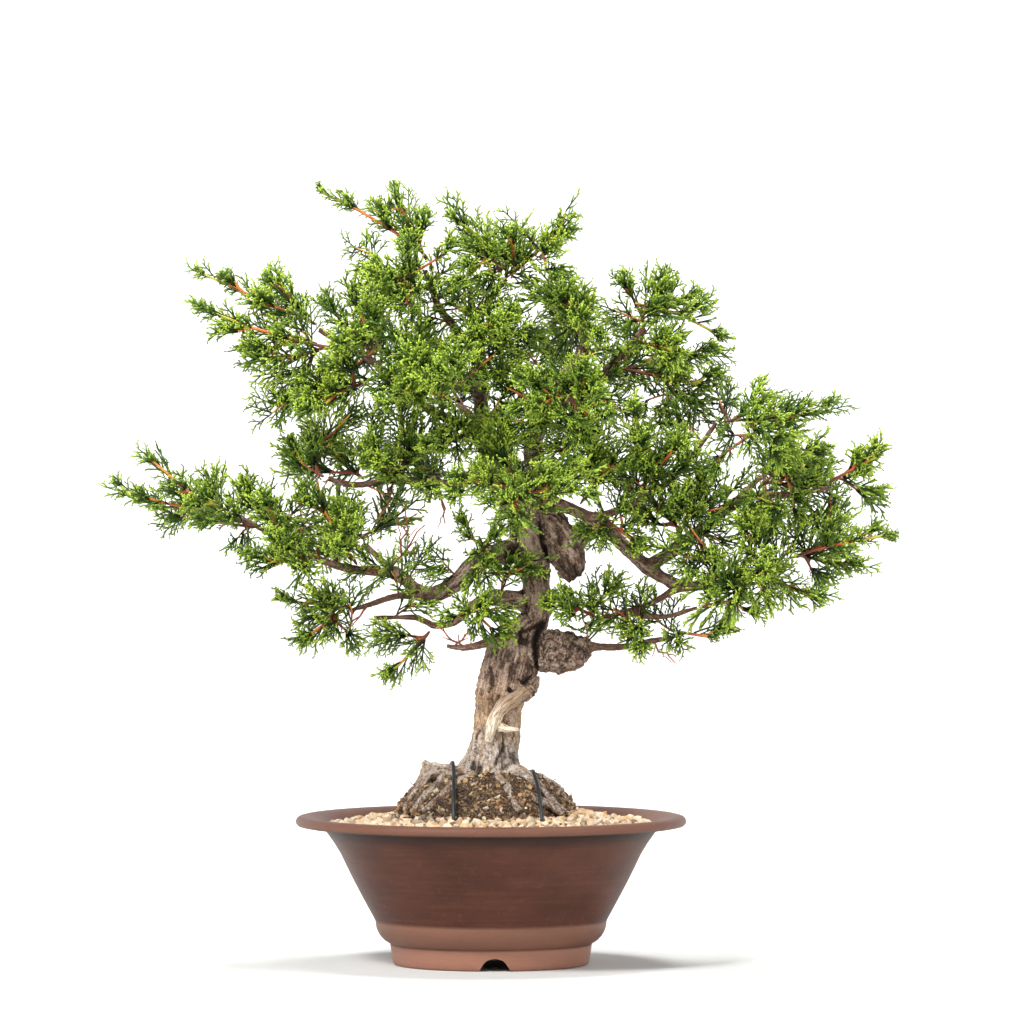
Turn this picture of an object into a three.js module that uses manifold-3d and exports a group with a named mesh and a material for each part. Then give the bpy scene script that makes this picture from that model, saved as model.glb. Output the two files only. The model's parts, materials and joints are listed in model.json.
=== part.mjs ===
// Itoigawa juniper bonsai in its round unglazed pot, at real size in millimetres.
// The origin is on the table under the middle of the tree, +Z is up and -Y faces the viewer.
// The wood is one grown piece. Each leafy spray is one closed skin of its own: a slim stem of
// three-cornered rings whose faces are drawn out into side twigs and fingers of scale leaves.
import * as THREE from "three";
import { mergeVertices } from "three/addons/utils/BufferGeometryUtils.js";
import Module from "manifold-3d";

const kit = await Module();
kit.setup();

// Clearance between two pieces that lie against each other.
const GAP = 0.35;

// Steps in a joined surface that are smaller than this are smoothed away.
const SMALLEST_STEP = 0.12;

// Pot: a round bowl with a lip, a band and a foot ring.
const POT_SIDES = 30;
const POT_HEIGHT = 97;
const RIM_RADIUS = 127.2;
const FOOT_RADIUS = 63.4;
const FOOT_INNER_RADIUS = 53.5;
const FLOOR_UNDERSIDE = 9.2;
const FLOOR_TOP = 17;
const NOTCH_HEIGHT = 8.6;
const NOTCH_FOOT_WIDTH = 19;
const NOTCH_TOP_WIDTH = 9.6;
const DRAIN_RADIUS = 14;
const WIRE_HOLE_RADIUS = 3;
const WIRE_HOLE_REACH = 38;

// Drain screen: a square of plastic net over the hole in the floor.
const SCREEN_SIZE = 40;
const SCREEN_THICKNESS = 1.4;
const SCREEN_OPENINGS = 3;
const SCREEN_STRAND = 3;

// Soil: pumice gravel to the rim, and the old root ball that stands up from it.
const GRAVEL_SECTORS = 36;
const GRAVEL_GRAIN = 8.5;
const GRAVEL_RELIEF = 1.7;
const GRAVEL_EDGE_HEIGHT = 91.5;
const BALL_CENTRE_X = -3;
const BALL_SECTORS = 20;
const BALL_RELIEF = 1.3;

// Ties: rubber-coated cord over a root on each side.
const TIE_RADIUS = 1.2;
const TIE_SIDES = 6;

// Foliage: leafy stems with side twigs and fingers of scale leaves on short zones.
const ZONE_PITCH = 25;
const ZONE_LENGTH = 2.8;
const TWIGS_IN_ZONE = 1;
const BARE_STEP = 15;
const FIRST_ZONE = 4;
const LAST_ZONE = 8;
const STEM_RADIUS = 1.25;
const STEM_TIP_RADIUS = 0.85;
const STEM_THICKENING = 0.012;
const REACH_AT_FOOT = 1.6;
const REACH_AT_TIP = 0.5;
const TWIG_SHARE = 0.34;
const TWIG_RADIUS = 0.8;
const TWIG_LEAN = 0.85;
const TWIG_BEND = 0.25;
const FINGER_RADIUS = 0.6;
const FINGER_LEAN = 0.72;

// Room kept between outgrowths, and how far out of a root it starts to count.
const ROOM_BETWEEN_SPRAYS = 0.4;
const ROOM_WITHIN_SPRAY = 0.06;
const ROOT_CLEARANCE = 2.6;
const BARK_CLEARANCE = 0.55;

// Tries at bending a stem clear: all, those that end at the exact tip, those through the foot.
const TRIES = 90;
const EXACT_TIP_TRIES = 60;
const EXACT_FOOT_TRIES = 12;
const FIRST_BOW = 0.08;
const BOW_STEP = 0.006;

// Heights at which the foliage turns from shaded to full green and then to fresh green.
const LEAF_HEIGHT = 300;
const FRESH_HEIGHT = 430;

// Colours as seen in daylight.
const COLOURS = {
  clay: 0x6b4a3c, net: 0x2a2d2b, gravel: 0xe2c99f, old_soil: 0x4a3626,
  bark: 0x6d5848, cord: 0x2b3238, fresh: 0x7f9f3a, leaf: 0x55802c, shade: 0x35591f,
};

// Trunk stations from below the soil to the first fork: x, y, z and radius.
const TRUNK = [
  [-3, 0, 108, 24], [-2, 0, 120, 21], [0.5, 0, 130, 17.6], [2, 0, 143, 15], [4, 0, 155, 15],
  [4.7, 0, 167, 15.2], [8, 0, 180, 16.8], [12, 0, 192, 17.4], [14.5, 0, 204, 15],
  [20, 0, 214, 12], [28, 0, 224, 9.4], [30, 0, 236, 8.8], [29, 0, 250, 9], [27.5, 0, 262, 10.6],
  [25, 0, 275, 12.6], [24, 1, 286, 11.4], [23, 2, 296, 8],
];

// Thick lumps: the swirl that hangs on the right, the cut branch with its swollen collar,
// the knot under it and the strip of pale dead wood down the front.
const LUMPS = [
  [[30, 0, 288, 8.5], [41, -5, 285, 10], [48, -9, 271, 10.2], [52, -11, 259, 8.8], [55, -12, 252.5, 4.5]],
  [[22, -1, 204, 8], [31, -3, 204, 12], [40, -4, 203.2, 14], [49, -4, 203, 14.2],
    [55.5, -4, 203.8, 11], [60, -4, 205, 6.5]],
  [[16, -4, 178, 6], [22, -6, 181, 8], [26.5, -6, 183.5, 5]],
  [[21, -13, 177, 3], [14, -16, 171.5, 4], [6, -17, 167, 4], [1, -17.5, 158, 3.6], [-1.5, -16.5, 147, 2.4]],
  [[4, -16, 155.5, 2.6], [12, -18, 154.5, 2.1], [18, -19, 154, 1.5]],
];

// Limbs, each a list of stations: x, y, z and radius.
const LIMBS = {
  left: [[23, 0, 271, 8], [6, -1, 267, 7], [-7, -2, 263, 6.2], [-17, -4, 254, 5.9], [-27, -4, 246, 5.5],
    [-41, -2, 240, 4.8], [-52, 2, 247, 3.8], [-62, 4, 254, 3.3], [-95, 6, 258, 2.6],
    [-122, 10, 268, 2.2], [-152, 20, 284, 1.8], [-164, 40, 290, 1.5]],
  left_stub: [[24, -1, 236, 6.5], [3, -4, 239, 5.4], [-13, -6, 233, 3.2], [-24, -6, 223, 2.3],
    [-38, -6, 221, 2.2], [-48, -7, 226, 1.8], [-76, -8, 226, 1.3]],
  left_under: [[-40, -2, 240, 2.6], [-60, 0, 240, 2.2], [-80, 0, 234, 1.8], [-92, 2, 230, 1.4]],
  left_back: [[-60, 4, 254, 2.8], [-72, 30, 262, 2.2], [-82, 62, 271, 1.5]],
  dead_stub: [[8, -8, 213, 4], [-6, -12, 209, 2.6], [-18, -13, 206.5, 2.1], [-29, -13, 208, 1.2]],
  leader_left: [[23, 2, 290, 8.6], [12, 8, 302, 7], [2, 10, 318, 6], [-5, 8, 345, 5],
    [-7, 4, 372, 4.4], [-8, 2, 398, 3.6], [-12, 0, 422, 2.6], [-14, 0, 440, 1.6]],
  left_middle: [[2, 10, 318, 4], [-10, 14, 322, 3.5], [-18, 14, 313, 3], [-34, 12, 313, 2.7],
    [-62, 10, 315, 2.4], [-88, 6, 312, 2], [-106, 6, 316, 1.5]],
  left_upper: [[-5, 8, 345, 4.2], [-22, 8, 352, 3.3], [-45, 4, 364, 2.9], [-62, 0, 380, 2.7],
    [-80, -2, 394, 2.3], [-112, 2, 413, 1.5]],
  left_top: [[-8, 2, 396, 3.1], [-22, 0, 413, 2.8], [-34, 0, 428, 2.3], [-43, 0, 452, 1.6]],
  top: [[-12, 0, 420, 2.3], [0, 2, 434, 2], [10, 2, 446, 1.6]],
  leader_right: [[26, 4, 292, 8.4], [31, 10, 310, 7], [28, 12, 335, 6], [33, 8, 358, 5.2],
    [44, 4, 378, 4.5], [58, 2, 396, 3.6], [62, 1, 418, 2]],
  right_upper: [[33, 8, 358, 4.2], [52, 14, 366, 3.5], [72, 12, 382, 3.2], [88, 6, 400, 2.7],
    [100, 3, 414, 1.8]],
  right: [[49, -8, 268, 7], [57, -9, 279, 6.8], [68, -9, 285, 5.6], [80, -10, 279, 4.8],
    [90, -12, 269, 4.4], [100, -13, 260, 4.2], [112, -13, 252, 3.7], [124, -12, 247, 3.2],
    [146, -10, 248, 2.7], [178, -6, 256, 2], [194, -4, 261, 1.6]],
  right_rise: [[102, -13, 259, 3.8], [115, -8, 268, 4], [128, -4, 277, 4], [143, 0, 288, 3.5],
    [157, 2, 299, 3], [172, 4, 305, 2.5], [196, -2, 306, 2], [218, -28, 311, 1.5]],
  right_back: [[157, 2, 299, 2.6], [168, 28, 309, 2], [177, 50, 316, 1.5]],
  right_return: [[124, -12, 247, 2.2], [112, -13, 240, 2], [100, -14, 234, 1.7], [68, -16, 225, 1.3]],
  right_low: [[88, -15, 229, 1.7], [112, -18, 227, 1.6], [134, -18, 233, 1.3]],
  burl_branch: [[56, -4, 206, 4], [66, -4, 207, 2.6], [84, -6, 207, 2.2], [104, -9, 211, 1.9],
    [118, -12, 213, 1.5]],
  sweep: [[31, 8, 304, 5], [49, -4, 298, 3.6], [66, -13, 292, 3], [82, -19, 296, 2.6],
    [98, -22, 304, 2.4], [117, -24, 316, 2.1], [130, -26, 331, 1.8], [146, -26, 353, 1.5]],
  front: [[26, -4, 288, 6], [28, -26, 301, 3.8], [25, -48, 306, 2.6], [20, -64, 305, 1.7]],
  back: [[25, 4, 286, 7], [26, 30, 297, 4.4], [20, 60, 307, 2.9], [14, 84, 315, 1.7]],
  back_left: [[-5, 8, 345, 4], [-13, 36, 356, 2.8], [-22, 64, 363, 1.7]],
  back_right: [[33, 8, 358, 4], [44, 36, 366, 2.8], [57, 64, 373, 1.7]],
  front_left: [[-7, 4, 372, 3.6], [-18, -20, 376, 2.6], [-29, -42, 380, 1.6]],
  front_right: [[33, 8, 358, 3.6], [42, -18, 364, 2.7], [52, -40, 368, 1.6]],
};

// Roots over and into the mound: x, y, z and radius.
const ROOTS = [
  [[-12, -8, 124, 5], [-22, -14, 126.5, 3.6], [-32, -16, 127.4, 3.4], [-40, -17, 127.4, 3.5],
    [-44.5, -18, 120, 3], [-50, -19, 110, 2.8], [-55, -20, 102, 2.4]],
  [[-10, -12, 120, 5], [-20, -27, 117, 3.6], [-31, -38, 108, 2.4]],
  [[8, -10, 122, 6], [20, -16, 125, 4], [29, -21, 118, 3.4], [38, -27, 107, 2]],
  [[14, 2, 122, 6], [30, 0, 120, 4.4], [42, -8, 113, 4], [49, -14, 105, 2]],
  [[-8, 12, 120, 6], [-20, 28, 117, 4], [-28, 40, 108, 2.2]],
  [[8, 12, 120, 6], [19, 28, 117, 4], [24, 40, 108, 2.2]],
];

// Ties: from the gravel in front, up over the mound and a root, and down behind it.
const TIES = {
  tie_left: [[-24, -60, 86], [-24, -60.5, 99], [-24, -56, 108], [-24, -50, 114.5], [-24, -41, 121],
    [-24, -29, 126.4], [-24.5, -20, 131.2], [-25, -14.5, 132.4], [-26, -8.5, 130.6], [-29, -4.5, 124],
    [-31, -3, 112]],
  tie_right: [[33, -57, 86], [33, -57.5, 98.5], [32, -52, 107], [31, -45, 114], [30, -36, 119.5],
    [28.5, -27, 124.2], [27.5, -20, 126.6], [27.5, -13.5, 125], [28, -10, 119], [28, -9.5, 107]],
};

// Sprays: where the leafy part starts, then the tip of each of its leafy stems with the
// length of the side twigs there.
const SPRAYS = [
  // Lower left tier with the long shoot.
  { foot: [-170, 48, 292], tips: [[-259.6, 90, 308, 18], [-226, 64, 330, 16]] },
  { foot: [-156, 14, 284], tips: [[-204, 18, 289, 18], [-198, 0, 312, 24]] },
  { foot: [-138, 2, 284], tips: [[-174, -8, 314, 20], [-148, -40, 308, 26]] },
  { foot: [-120, -10, 266], tips: [[-162, -26, 257, 26], [-138, -62, 272, 26]] },
  { foot: [-104, 26, 266], tips: [[-146, 66, 266, 30]] },
  { foot: [-84, 68, 273], tips: [[-108, 134, 286, 30]] },
  { foot: [-92, -10, 268], tips: [[-108, -84, 274, 26], [-126, -16, 320, 24]] },
  { foot: [-92, 2, 231], tips: [[-126, -8, 207, 20], [-139, 0, 236, 20], [-94, -14, 214, 18], [-84, -24, 240, 18]] },
  { foot: [-42, -10, 213], tips: [[-71, -16, 185, 20]] },
  // Middle left.
  { foot: [-60, 2, 322], tips: [[-84, -62, 330, 30]] },
  { foot: [-112, 10, 318], tips: [[-140, 22, 331, 22], [-118, 2, 345, 22]] },
  { foot: [-88, 14, 320], tips: [[-112, 72, 336, 30]] },
  { foot: [-36, 20, 318], tips: [[-44, 84, 324, 30], [-58, -26, 306, 22]] },
  { foot: [-22, -4, 344], tips: [[-36, -76, 336, 30]] },
  { foot: [-117, 4, 417], tips: [[-193, 10, 452, 16], [-146, 18, 451, 16]] },
  { foot: [-106, -5, 399], tips: [[-199, -12, 432, 20], [-160, -22, 390, 26]] },
  { foot: [-84, 2, 378], tips: [[-146, 20, 362, 28], [-112, -60, 360, 28], [-114, -12, 392, 24]] },
  { foot: [-80, -10, 405], tips: [[-112, -30, 426, 24], [-92, -72, 408, 28]] },
  { foot: [-72, 16, 400], tips: [[-94, 48, 434, 26], [-88, 100, 408, 30]] },
  { foot: [-44, -12, 372], tips: [[-64, -104, 372, 32]] },
  { foot: [-30, -46, 381], tips: [[-32, -126, 392, 32]] },
  { foot: [-23, 68, 364], tips: [[-40, 136, 372, 32]] },
  // Top.
  { foot: [-46, 0, 463], tips: [[-115, -4, 505, 14], [-62, 2, 497, 14]] },
  { foot: [-42, -8, 440], tips: [[-80, -18, 448, 22], [-60, -52, 428, 28], [-56, 58, 452, 28], [-28, -24, 464, 22]] },
  { foot: [1, -6, 460], tips: [[-33, -2, 504, 16], [-18, -50, 450, 28]] },
  { foot: [14, 5, 450], tips: [[54, -4, 487, 16], [12, -26, 480, 16], [4, 66, 462, 26], [36, -26, 452, 24]] },
  { foot: [-6, -8, 418], tips: [[8, -84, 418, 30], [23, -22, 406, 26]] },
  // Upper right.
  { foot: [62, -2, 422], tips: [[36, -14, 438, 24], [62, -66, 418, 28], [62, 76, 426, 30]] },
  { foot: [102, 3, 418], tips: [[84, 8, 449, 18], [132, -6, 434, 18], [152, -8, 408, 20]] },
  { foot: [100, -6, 404], tips: [[120, -62, 398, 28], [158, -14, 390, 20]] },
  { foot: [84, 2, 388], tips: [[152, -12, 372, 26], [120, 76, 390, 30]] },
  { foot: [59, 68, 374], tips: [[56, 144, 380, 32]] },
  { foot: [54, -44, 369], tips: [[72, -124, 368, 32], [24, -100, 362, 30]] },
  { foot: [62, -18, 308], tips: [[50, -44, 382, 26], [86, -54, 342, 26]] },
  { foot: [100, -28, 312], tips: [[90, -60, 372, 28], [128, -54, 350, 28]] },
  { foot: [74, -22, 290], tips: [[102, -44, 268, 22], [66, -42, 276, 18], [96, -52, 294, 20]] },
  // Front and back of the middle.
  { foot: [19, -68, 305], tips: [[4, -142, 300, 30], [56, -128, 312, 30]] },
  { foot: [20, -50, 312], tips: [[-30, -102, 318, 30]] },
  { foot: [13, 88, 316], tips: [[8, 139, 320, 30], [52, 126, 310, 30]] },
  // Right.
  { foot: [150, -27, 355], tips: [[238, -22, 363, 16], [184, -40, 368, 20], [168, -76, 346, 26], [140, -44, 326, 24]] },
  { foot: [222, -33, 313], tips: [[254, -86, 337, 20], [244, -34, 318, 24]] },
  { foot: [176, 8, 312], tips: [[224, 14, 346, 22], [212, 14, 328, 26], [196, -36, 290, 28]] },
  { foot: [122, -10, 280], tips: [[140, -34, 318, 24], [108, -22, 316, 20], [132, -46, 288, 22]] },
  { foot: [178, 54, 318], tips: [[214, 112, 326, 32]] },
  { foot: [198, -4, 264], tips: [[257, -64, 282, 20], [238, 8, 257, 18], [214, 34, 284, 28]] },
  { foot: [168, -12, 256], tips: [[226, -20, 238, 14], [180, -88, 262, 30], [150, -44, 288, 28]] },
  { foot: [122, -13, 214], tips: [[163, -18, 217, 16], [108, -40, 206, 16]] },
  { foot: [138, -19, 234], tips: [[178, -28, 243, 20], [148, -46, 266, 24]] },
  { foot: [66, -18, 226], tips: [[34, -28, 242, 20], [66, -42, 238, 22], [50, -38, 218, 18]] },
  { foot: [98, -24, 225], tips: [[94, -38, 197, 16], [80, -44, 218, 18]] },
  // Close to the trunk.
  { foot: [-8, -12, 230], tips: [[-22, -28, 232, 20], [2, -36, 206, 18], [14, -36, 236, 20]] },
  { foot: [-2, -8, 272], tips: [[-22, -24, 284, 18], [0, -38, 252, 20], [16, -38, 264, 18]] },
  { foot: [38, -16, 352], tips: [[12, -66, 346, 30], [34, -46, 392, 26]] },
];

// Random numbers that repeat on every run.
function seededRandom(seed) {
  let state = seed >>> 0;
  return () => {
    state = (state + 0x6d2b79f5) >>> 0;
    let t = Math.imul(state ^ (state >>> 15), 1 | state);
    t = (t + Math.imul(t ^ (t >>> 7), 61 | t)) ^ t;
    return ((t ^ (t >>> 14)) >>> 0) / 4294967296;
  };
}

const vector = ([x, y, z]) => new THREE.Vector3(x, y, z);

// A solid from corner points and triangles; inside-out input is turned round.
function solidFrom(points, faces) {
  const vertProperties = new Float32Array(points.flatMap((p) => [p.x, p.y, p.z]));
  const build = (list) => new kit.Manifold(new kit.Mesh({
    numProp: 3, vertProperties, triVerts: new Uint32Array(list.flat()),
  }));
  const solid = build(faces);
  return solid.volume() > 0 ? solid : build(faces.map(([a, b, c]) => [a, c, b]));
}

// A solid from a closed three.js geometry.
function solidOf(geometry) {
  const bare = geometry.clone();
  for (const name of ["normal", "uv"]) bare.deleteAttribute(name);
  const merged = mergeVertices(bare, 1e-4);
  const position = merged.getAttribute("position");
  const points = [];
  for (let i = 0; i < position.count; i += 1) {
    points.push(new THREE.Vector3().fromBufferAttribute(position, i));
  }
  const index = merged.getIndex().array;
  const faces = [];
  for (let i = 0; i < index.length; i += 3) {
    const [a, b, c] = [index[i], index[i + 1], index[i + 2]];
    if (a !== b && b !== c && c !== a) faces.push([a, b, c]);
  }
  return solidFrom(points, faces);
}

// The biggest body of a solid, without loose scraps.
function mainBody(solid) {
  return solid.decompose().reduce((best, body) => (body.volume() > best.volume() ? body : best));
}

function geometryFrom(points, faces) {
  const geometry = new THREE.BufferGeometry();
  geometry.setAttribute("position",
    new THREE.Float32BufferAttribute(points.flatMap((p) => [p.x, p.y, p.z]), 3));
  geometry.setIndex(faces.flat());
  return geometry;
}

function geometryOf(solid) {
  const mesh = solid.getMesh();
  const geometry = new THREE.BufferGeometry();
  geometry.setAttribute("position", new THREE.BufferAttribute(mesh.vertProperties, 3));
  geometry.setIndex(new THREE.BufferAttribute(mesh.triVerts, 1));
  return geometry;
}

function named(name, geometry, colour, roughness = 0.85) {
  const material = new THREE.MeshStandardMaterial({
    color: colour, roughness, metalness: 0, flatShading: true,
  });
  const mesh = new THREE.Mesh(geometry, material);
  mesh.name = name;
  return mesh;
}

// A round-sectioned limb through its stations. Extra widens it, for the holes it stands in.
function limbSolid(stations, sides, extra = 0, flute = 0) {
  const centres = stations.map(vector);
  const points = [];
  let across = new THREE.Vector3(1, 0.2, 0.1);
  centres.forEach((centre, i) => {
    const ahead = centres[Math.min(i + 1, centres.length - 1)];
    const behind = centres[Math.max(i - 1, 0)];
    const axis = ahead.clone().sub(behind).normalize();
    across = across.addScaledVector(axis, -across.dot(axis)).normalize();
    const side = axis.clone().cross(across);
    for (let k = 0; k < sides; k += 1) {
      const angle = (k / sides) * Math.PI * 2;
      const ripple = 1 + flute * Math.sin(3 * angle + i * 0.55) + flute * 0.7 * Math.sin(5 * angle - i);
      const radius = stations[i][3] * ripple + extra;
      points.push(centre.clone()
        .addScaledVector(across, Math.cos(angle) * radius)
        .addScaledVector(side, Math.sin(angle) * radius));
    }
  });
  const faces = [];
  for (let i = 0; i + 1 < centres.length; i += 1) {
    for (let k = 0; k < sides; k += 1) {
      const [a, b] = [i * sides + k, i * sides + ((k + 1) % sides)];
      faces.push([a, b, b + sides], [a, b + sides, a + sides]);
    }
  }
  const last = (centres.length - 1) * sides;
  for (let k = 1; k + 1 < sides; k += 1) {
    faces.push([0, k + 1, k], [last, last + k, last + k + 1]);
  }
  return solidFrom(points, faces);
}

// Where things already are: straight pieces with a radius and an owner.
const taken = [];

function take(from, to, radius, owner) {
  taken.push({ from, to, radius, owner });
}

function takeStations(stations, owner) {
  for (let i = 0; i + 1 < stations.length; i += 1) {
    const [near, far] = [stations[i], stations[i + 1]];
    take(vector(near), vector(far), Math.max(near[3], far[3]), owner);
  }
}

// Shortest distance between two straight pieces.
function distanceBetween(p1, q1, p2, q2) {
  const d1 = q1.clone().sub(p1);
  const d2 = q2.clone().sub(p2);
  const r = p1.clone().sub(p2);
  const a = d1.dot(d1);
  const e = d2.dot(d2);
  const f = d2.dot(r);
  const c = d1.dot(r);
  const b = d1.dot(d2);
  const denominator = a * e - b * b;
  let s = denominator > 1e-9 ? THREE.MathUtils.clamp((b * f - c * e) / denominator, 0, 1) : 0;
  let t = (b * s + f) / e;
  if (t < 0) {
    t = 0;
    s = THREE.MathUtils.clamp(-c / a, 0, 1);
  } else if (t > 1) {
    t = 1;
    s = THREE.MathUtils.clamp((b - c) / a, 0, 1);
  }
  return p1.clone().addScaledVector(d1, s).distanceTo(p2.clone().addScaledVector(d2, t));
}

// Whether a straight piece has room beside everything that is already there.
function hasRoom(from, to, radius, owner) {
  const reach = from.distanceTo(to);
  return taken.every((other) => {
    const near = other.from.distanceTo(other.to) + reach + other.radius + radius + 1;
    if (other.from.distanceTo(from) > near) return true;
    const room = other.owner === owner ? ROOM_WITHIN_SPRAY : ROOM_BETWEEN_SPRAYS;
    return distanceBetween(from, to, other.from, other.to) > other.radius + radius + room;
  });
}

// One closed skin of triangles that grows by drawing its own faces out.
class Skin {
  constructor() {
    this.points = [];
    this.faces = new Set();
  }

  add(point) {
    this.points.push(point);
    return this.points.length - 1;
  }

  face(a, b, c) {
    const made = [a, b, c];
    this.faces.add(made);
    return made;
  }

  centre([a, b, c]) {
    return this.points[a].clone().add(this.points[b]).add(this.points[c]).divideScalar(3);
  }

  outward([a, b, c]) {
    const u = this.points[b].clone().sub(this.points[a]);
    const v = this.points[c].clone().sub(this.points[a]);
    return u.cross(v).normalize();
  }

  // Draws an open or closed triangle out to a point.
  point(front, tip) {
    this.faces.delete(front);
    const apex = this.add(tip);
    const [a, b, c] = front;
    this.face(a, b, apex);
    this.face(b, c, apex);
    this.face(c, a, apex);
  }

  // Draws a triangle out to a new ring, turned by a sixth, and returns the six new side
  // faces and the new front.
  ring(front, centre, axis, radius) {
    this.faces.delete(front);
    const [a, b, c] = front;
    const middle = this.centre(front);
    const start = new THREE.Vector3();
    [[a, b], [b, c], [c, a]].forEach(([p, q], i) => {
      const edge = this.points[p].clone().add(this.points[q]).multiplyScalar(0.5).sub(middle);
      edge.addScaledVector(axis, -edge.dot(axis));
      start.add(edge.applyAxisAngle(axis, (-i * Math.PI * 2) / 3));
    });
    start.normalize();
    const [m0, m1, m2] = [0, 1, 2].map((i) => this.add(centre.clone().addScaledVector(
      start.clone().applyAxisAngle(axis, (i * Math.PI * 2) / 3), radius)));
    const sides = [
      this.face(a, b, m0), this.face(b, m1, m0), this.face(b, c, m1),
      this.face(c, m2, m1), this.face(c, a, m2), this.face(a, m0, m2),
    ];
    return { sides, front: [m0, m1, m2] };
  }
}

// The direction a face's outgrowth takes: leaning forward from the axis.
function leaning(skin, face, axis, lean) {
  const out = skin.outward(face);
  out.addScaledVector(axis, -out.dot(axis)).normalize();
  return axis.clone().multiplyScalar(Math.cos(lean)).addScaledVector(out, Math.sin(lean)).normalize();
}

// A finger of scale leaves: a face drawn out to a point.
function growFinger(skin, face, axis, lean, length, owner) {
  const root = skin.centre(face);
  const direction = leaning(skin, face, axis, lean);
  const tip = root.clone().addScaledVector(direction, length);
  const clear = root.clone().addScaledVector(direction, ROOT_CLEARANCE);
  if (!hasRoom(clear, tip, FINGER_RADIUS, owner)) return;
  skin.point(face, tip);
  take(clear, tip, FINGER_RADIUS, owner);
}

// A side twig from a face of the stem, bare at first, with fingers round a short zone and
// one straight on.
function growTwig(skin, face, axis, length, owner, random) {
  const root = skin.centre(face);
  const direction = leaning(skin, face, axis, TWIG_LEAN + (random() - 0.5) * 0.4);
  const elbow = root.clone().addScaledVector(direction, length * TWIG_SHARE);
  const bent = direction.clone().addScaledVector(axis, TWIG_BEND).normalize();
  const end = elbow.clone().addScaledVector(bent, ZONE_LENGTH);
  const tip = elbow.clone().addScaledVector(bent, length * (1 - TWIG_SHARE));
  const clear = root.clone().addScaledVector(direction, ROOT_CLEARANCE);
  if (!hasRoom(clear, elbow, TWIG_RADIUS, owner)) return false;
  if (!hasRoom(elbow, tip, TWIG_RADIUS, owner)) return false;
  const twig = skin.ring(face, elbow, direction, TWIG_RADIUS);
  const zone = skin.ring(twig.front, end, bent, TWIG_RADIUS);
  skin.point(zone.front, tip);
  take(clear, elbow, TWIG_RADIUS, owner);
  take(elbow, tip, TWIG_RADIUS, owner);
  zone.sides.forEach((side) => {
    const lean = FINGER_LEAN + (random() - 0.5) * 0.3;
    growFinger(skin, side, bent, lean, length * (0.5 + 0.35 * random()), owner);
  });
  return true;
}

// A stem from an open front along a curve to its tip: bare at first, then with at least the
// fewest zones where its twigs will stand. Returns the zones.
function growStem(skin, front, { curve, bare }, width, radius, owner, fewest) {
  const length = curve.getLength();
  const first = Math.max(bare, FIRST_ZONE);
  const last = length - LAST_ZONE;
  const pitch = Math.min(ZONE_PITCH, (last - first) / fewest);
  const places = [];
  for (let s = BARE_STEP; s < bare; s += BARE_STEP) places.push({ s });
  for (let s = first; s < last - 0.01; s += pitch) {
    places.push({ s }, { s: s + ZONE_LENGTH, zone: true });
  }
  const zones = [];
  let open = front;
  let behind = curve.getPointAt(0);
  places.forEach(({ s, zone }) => {
    const u = s / length;
    const centre = curve.getPointAt(u);
    const axis = curve.getTangentAt(u);
    const thick = THREE.MathUtils.lerp(radius, STEM_TIP_RADIUS, u);
    const grown = skin.ring(open, centre, axis, thick);
    take(behind, centre, thick + 0.1, owner);
    const along = (s - bare) / (length - bare);
    const reach = width * THREE.MathUtils.lerp(REACH_AT_FOOT, REACH_AT_TIP, along);
    if (zone) zones.push({ sides: grown.sides, axis, reach });
    open = grown.front;
    behind = centre;
  });
  const tip = curve.getPointAt(1);
  take(behind, tip, STEM_TIP_RADIUS, owner);
  skin.point(open, tip);
  return zones;
}

// Side twigs on a zone of a stem, on every side in turn, and fingers on its other faces.
function dressZone({ sides, axis, reach }, index, skin, owner, random) {
  const first = Math.floor(random() * 6);
  const order = [0, 3, 1, 4, 2, 5].map((step) => sides[(first + index + step) % 6]);
  let twigs = 0;
  const spare = order.filter((face) => {
    if (twigs === TWIGS_IN_ZONE) return true;
    const grown = growTwig(skin, face, axis, reach * (0.85 + 0.3 * random()), owner, random);
    if (grown) twigs += 1;
    return !grown;
  });
  spare.forEach((face) => {
    growFinger(skin, face, axis, TWIG_LEAN, reach * (0.4 + 0.25 * random()), owner);
  });
}

// A stem's curve through its foot to its tip, bent sideways until it has room.
function stemCurve(start, leaving, foot, tip, radius, owner, random) {
  const span = tip.clone().sub(foot);
  const bare = start.distanceTo(foot);
  for (let attempt = 0; attempt < TRIES; attempt += 1) {
    const bow = new THREE.Vector3(random() - 0.5, random() - 0.5, random() - 0.5)
      .multiplyScalar(span.length() * (FIRST_BOW + attempt * BOW_STEP));
    const end = attempt < EXACT_TIP_TRIES ? tip : tip.clone().addScaledVector(bow, 0.5);
    const middle = foot.clone().addScaledVector(span, 0.5).add(bow);
    const course = [start, start.clone().addScaledVector(leaving, Math.min(bare * 0.3, 8))];
    if (bare > 9) course.push(foot.clone().addScaledVector(bow, attempt < EXACT_FOOT_TRIES ? 0 : 0.5));
    course.push(middle, end);
    const curve = new THREE.CatmullRomCurve3(course, false, "centripetal");
    const points = curve.getSpacedPoints(Math.ceil(curve.getLength() / 5));
    const free = points.slice(1, -1).every((p, i) => hasRoom(p, points[i + 2], radius + 0.2, owner));
    if (free) return { curve, bare };
  }
  return null;
}

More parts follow.
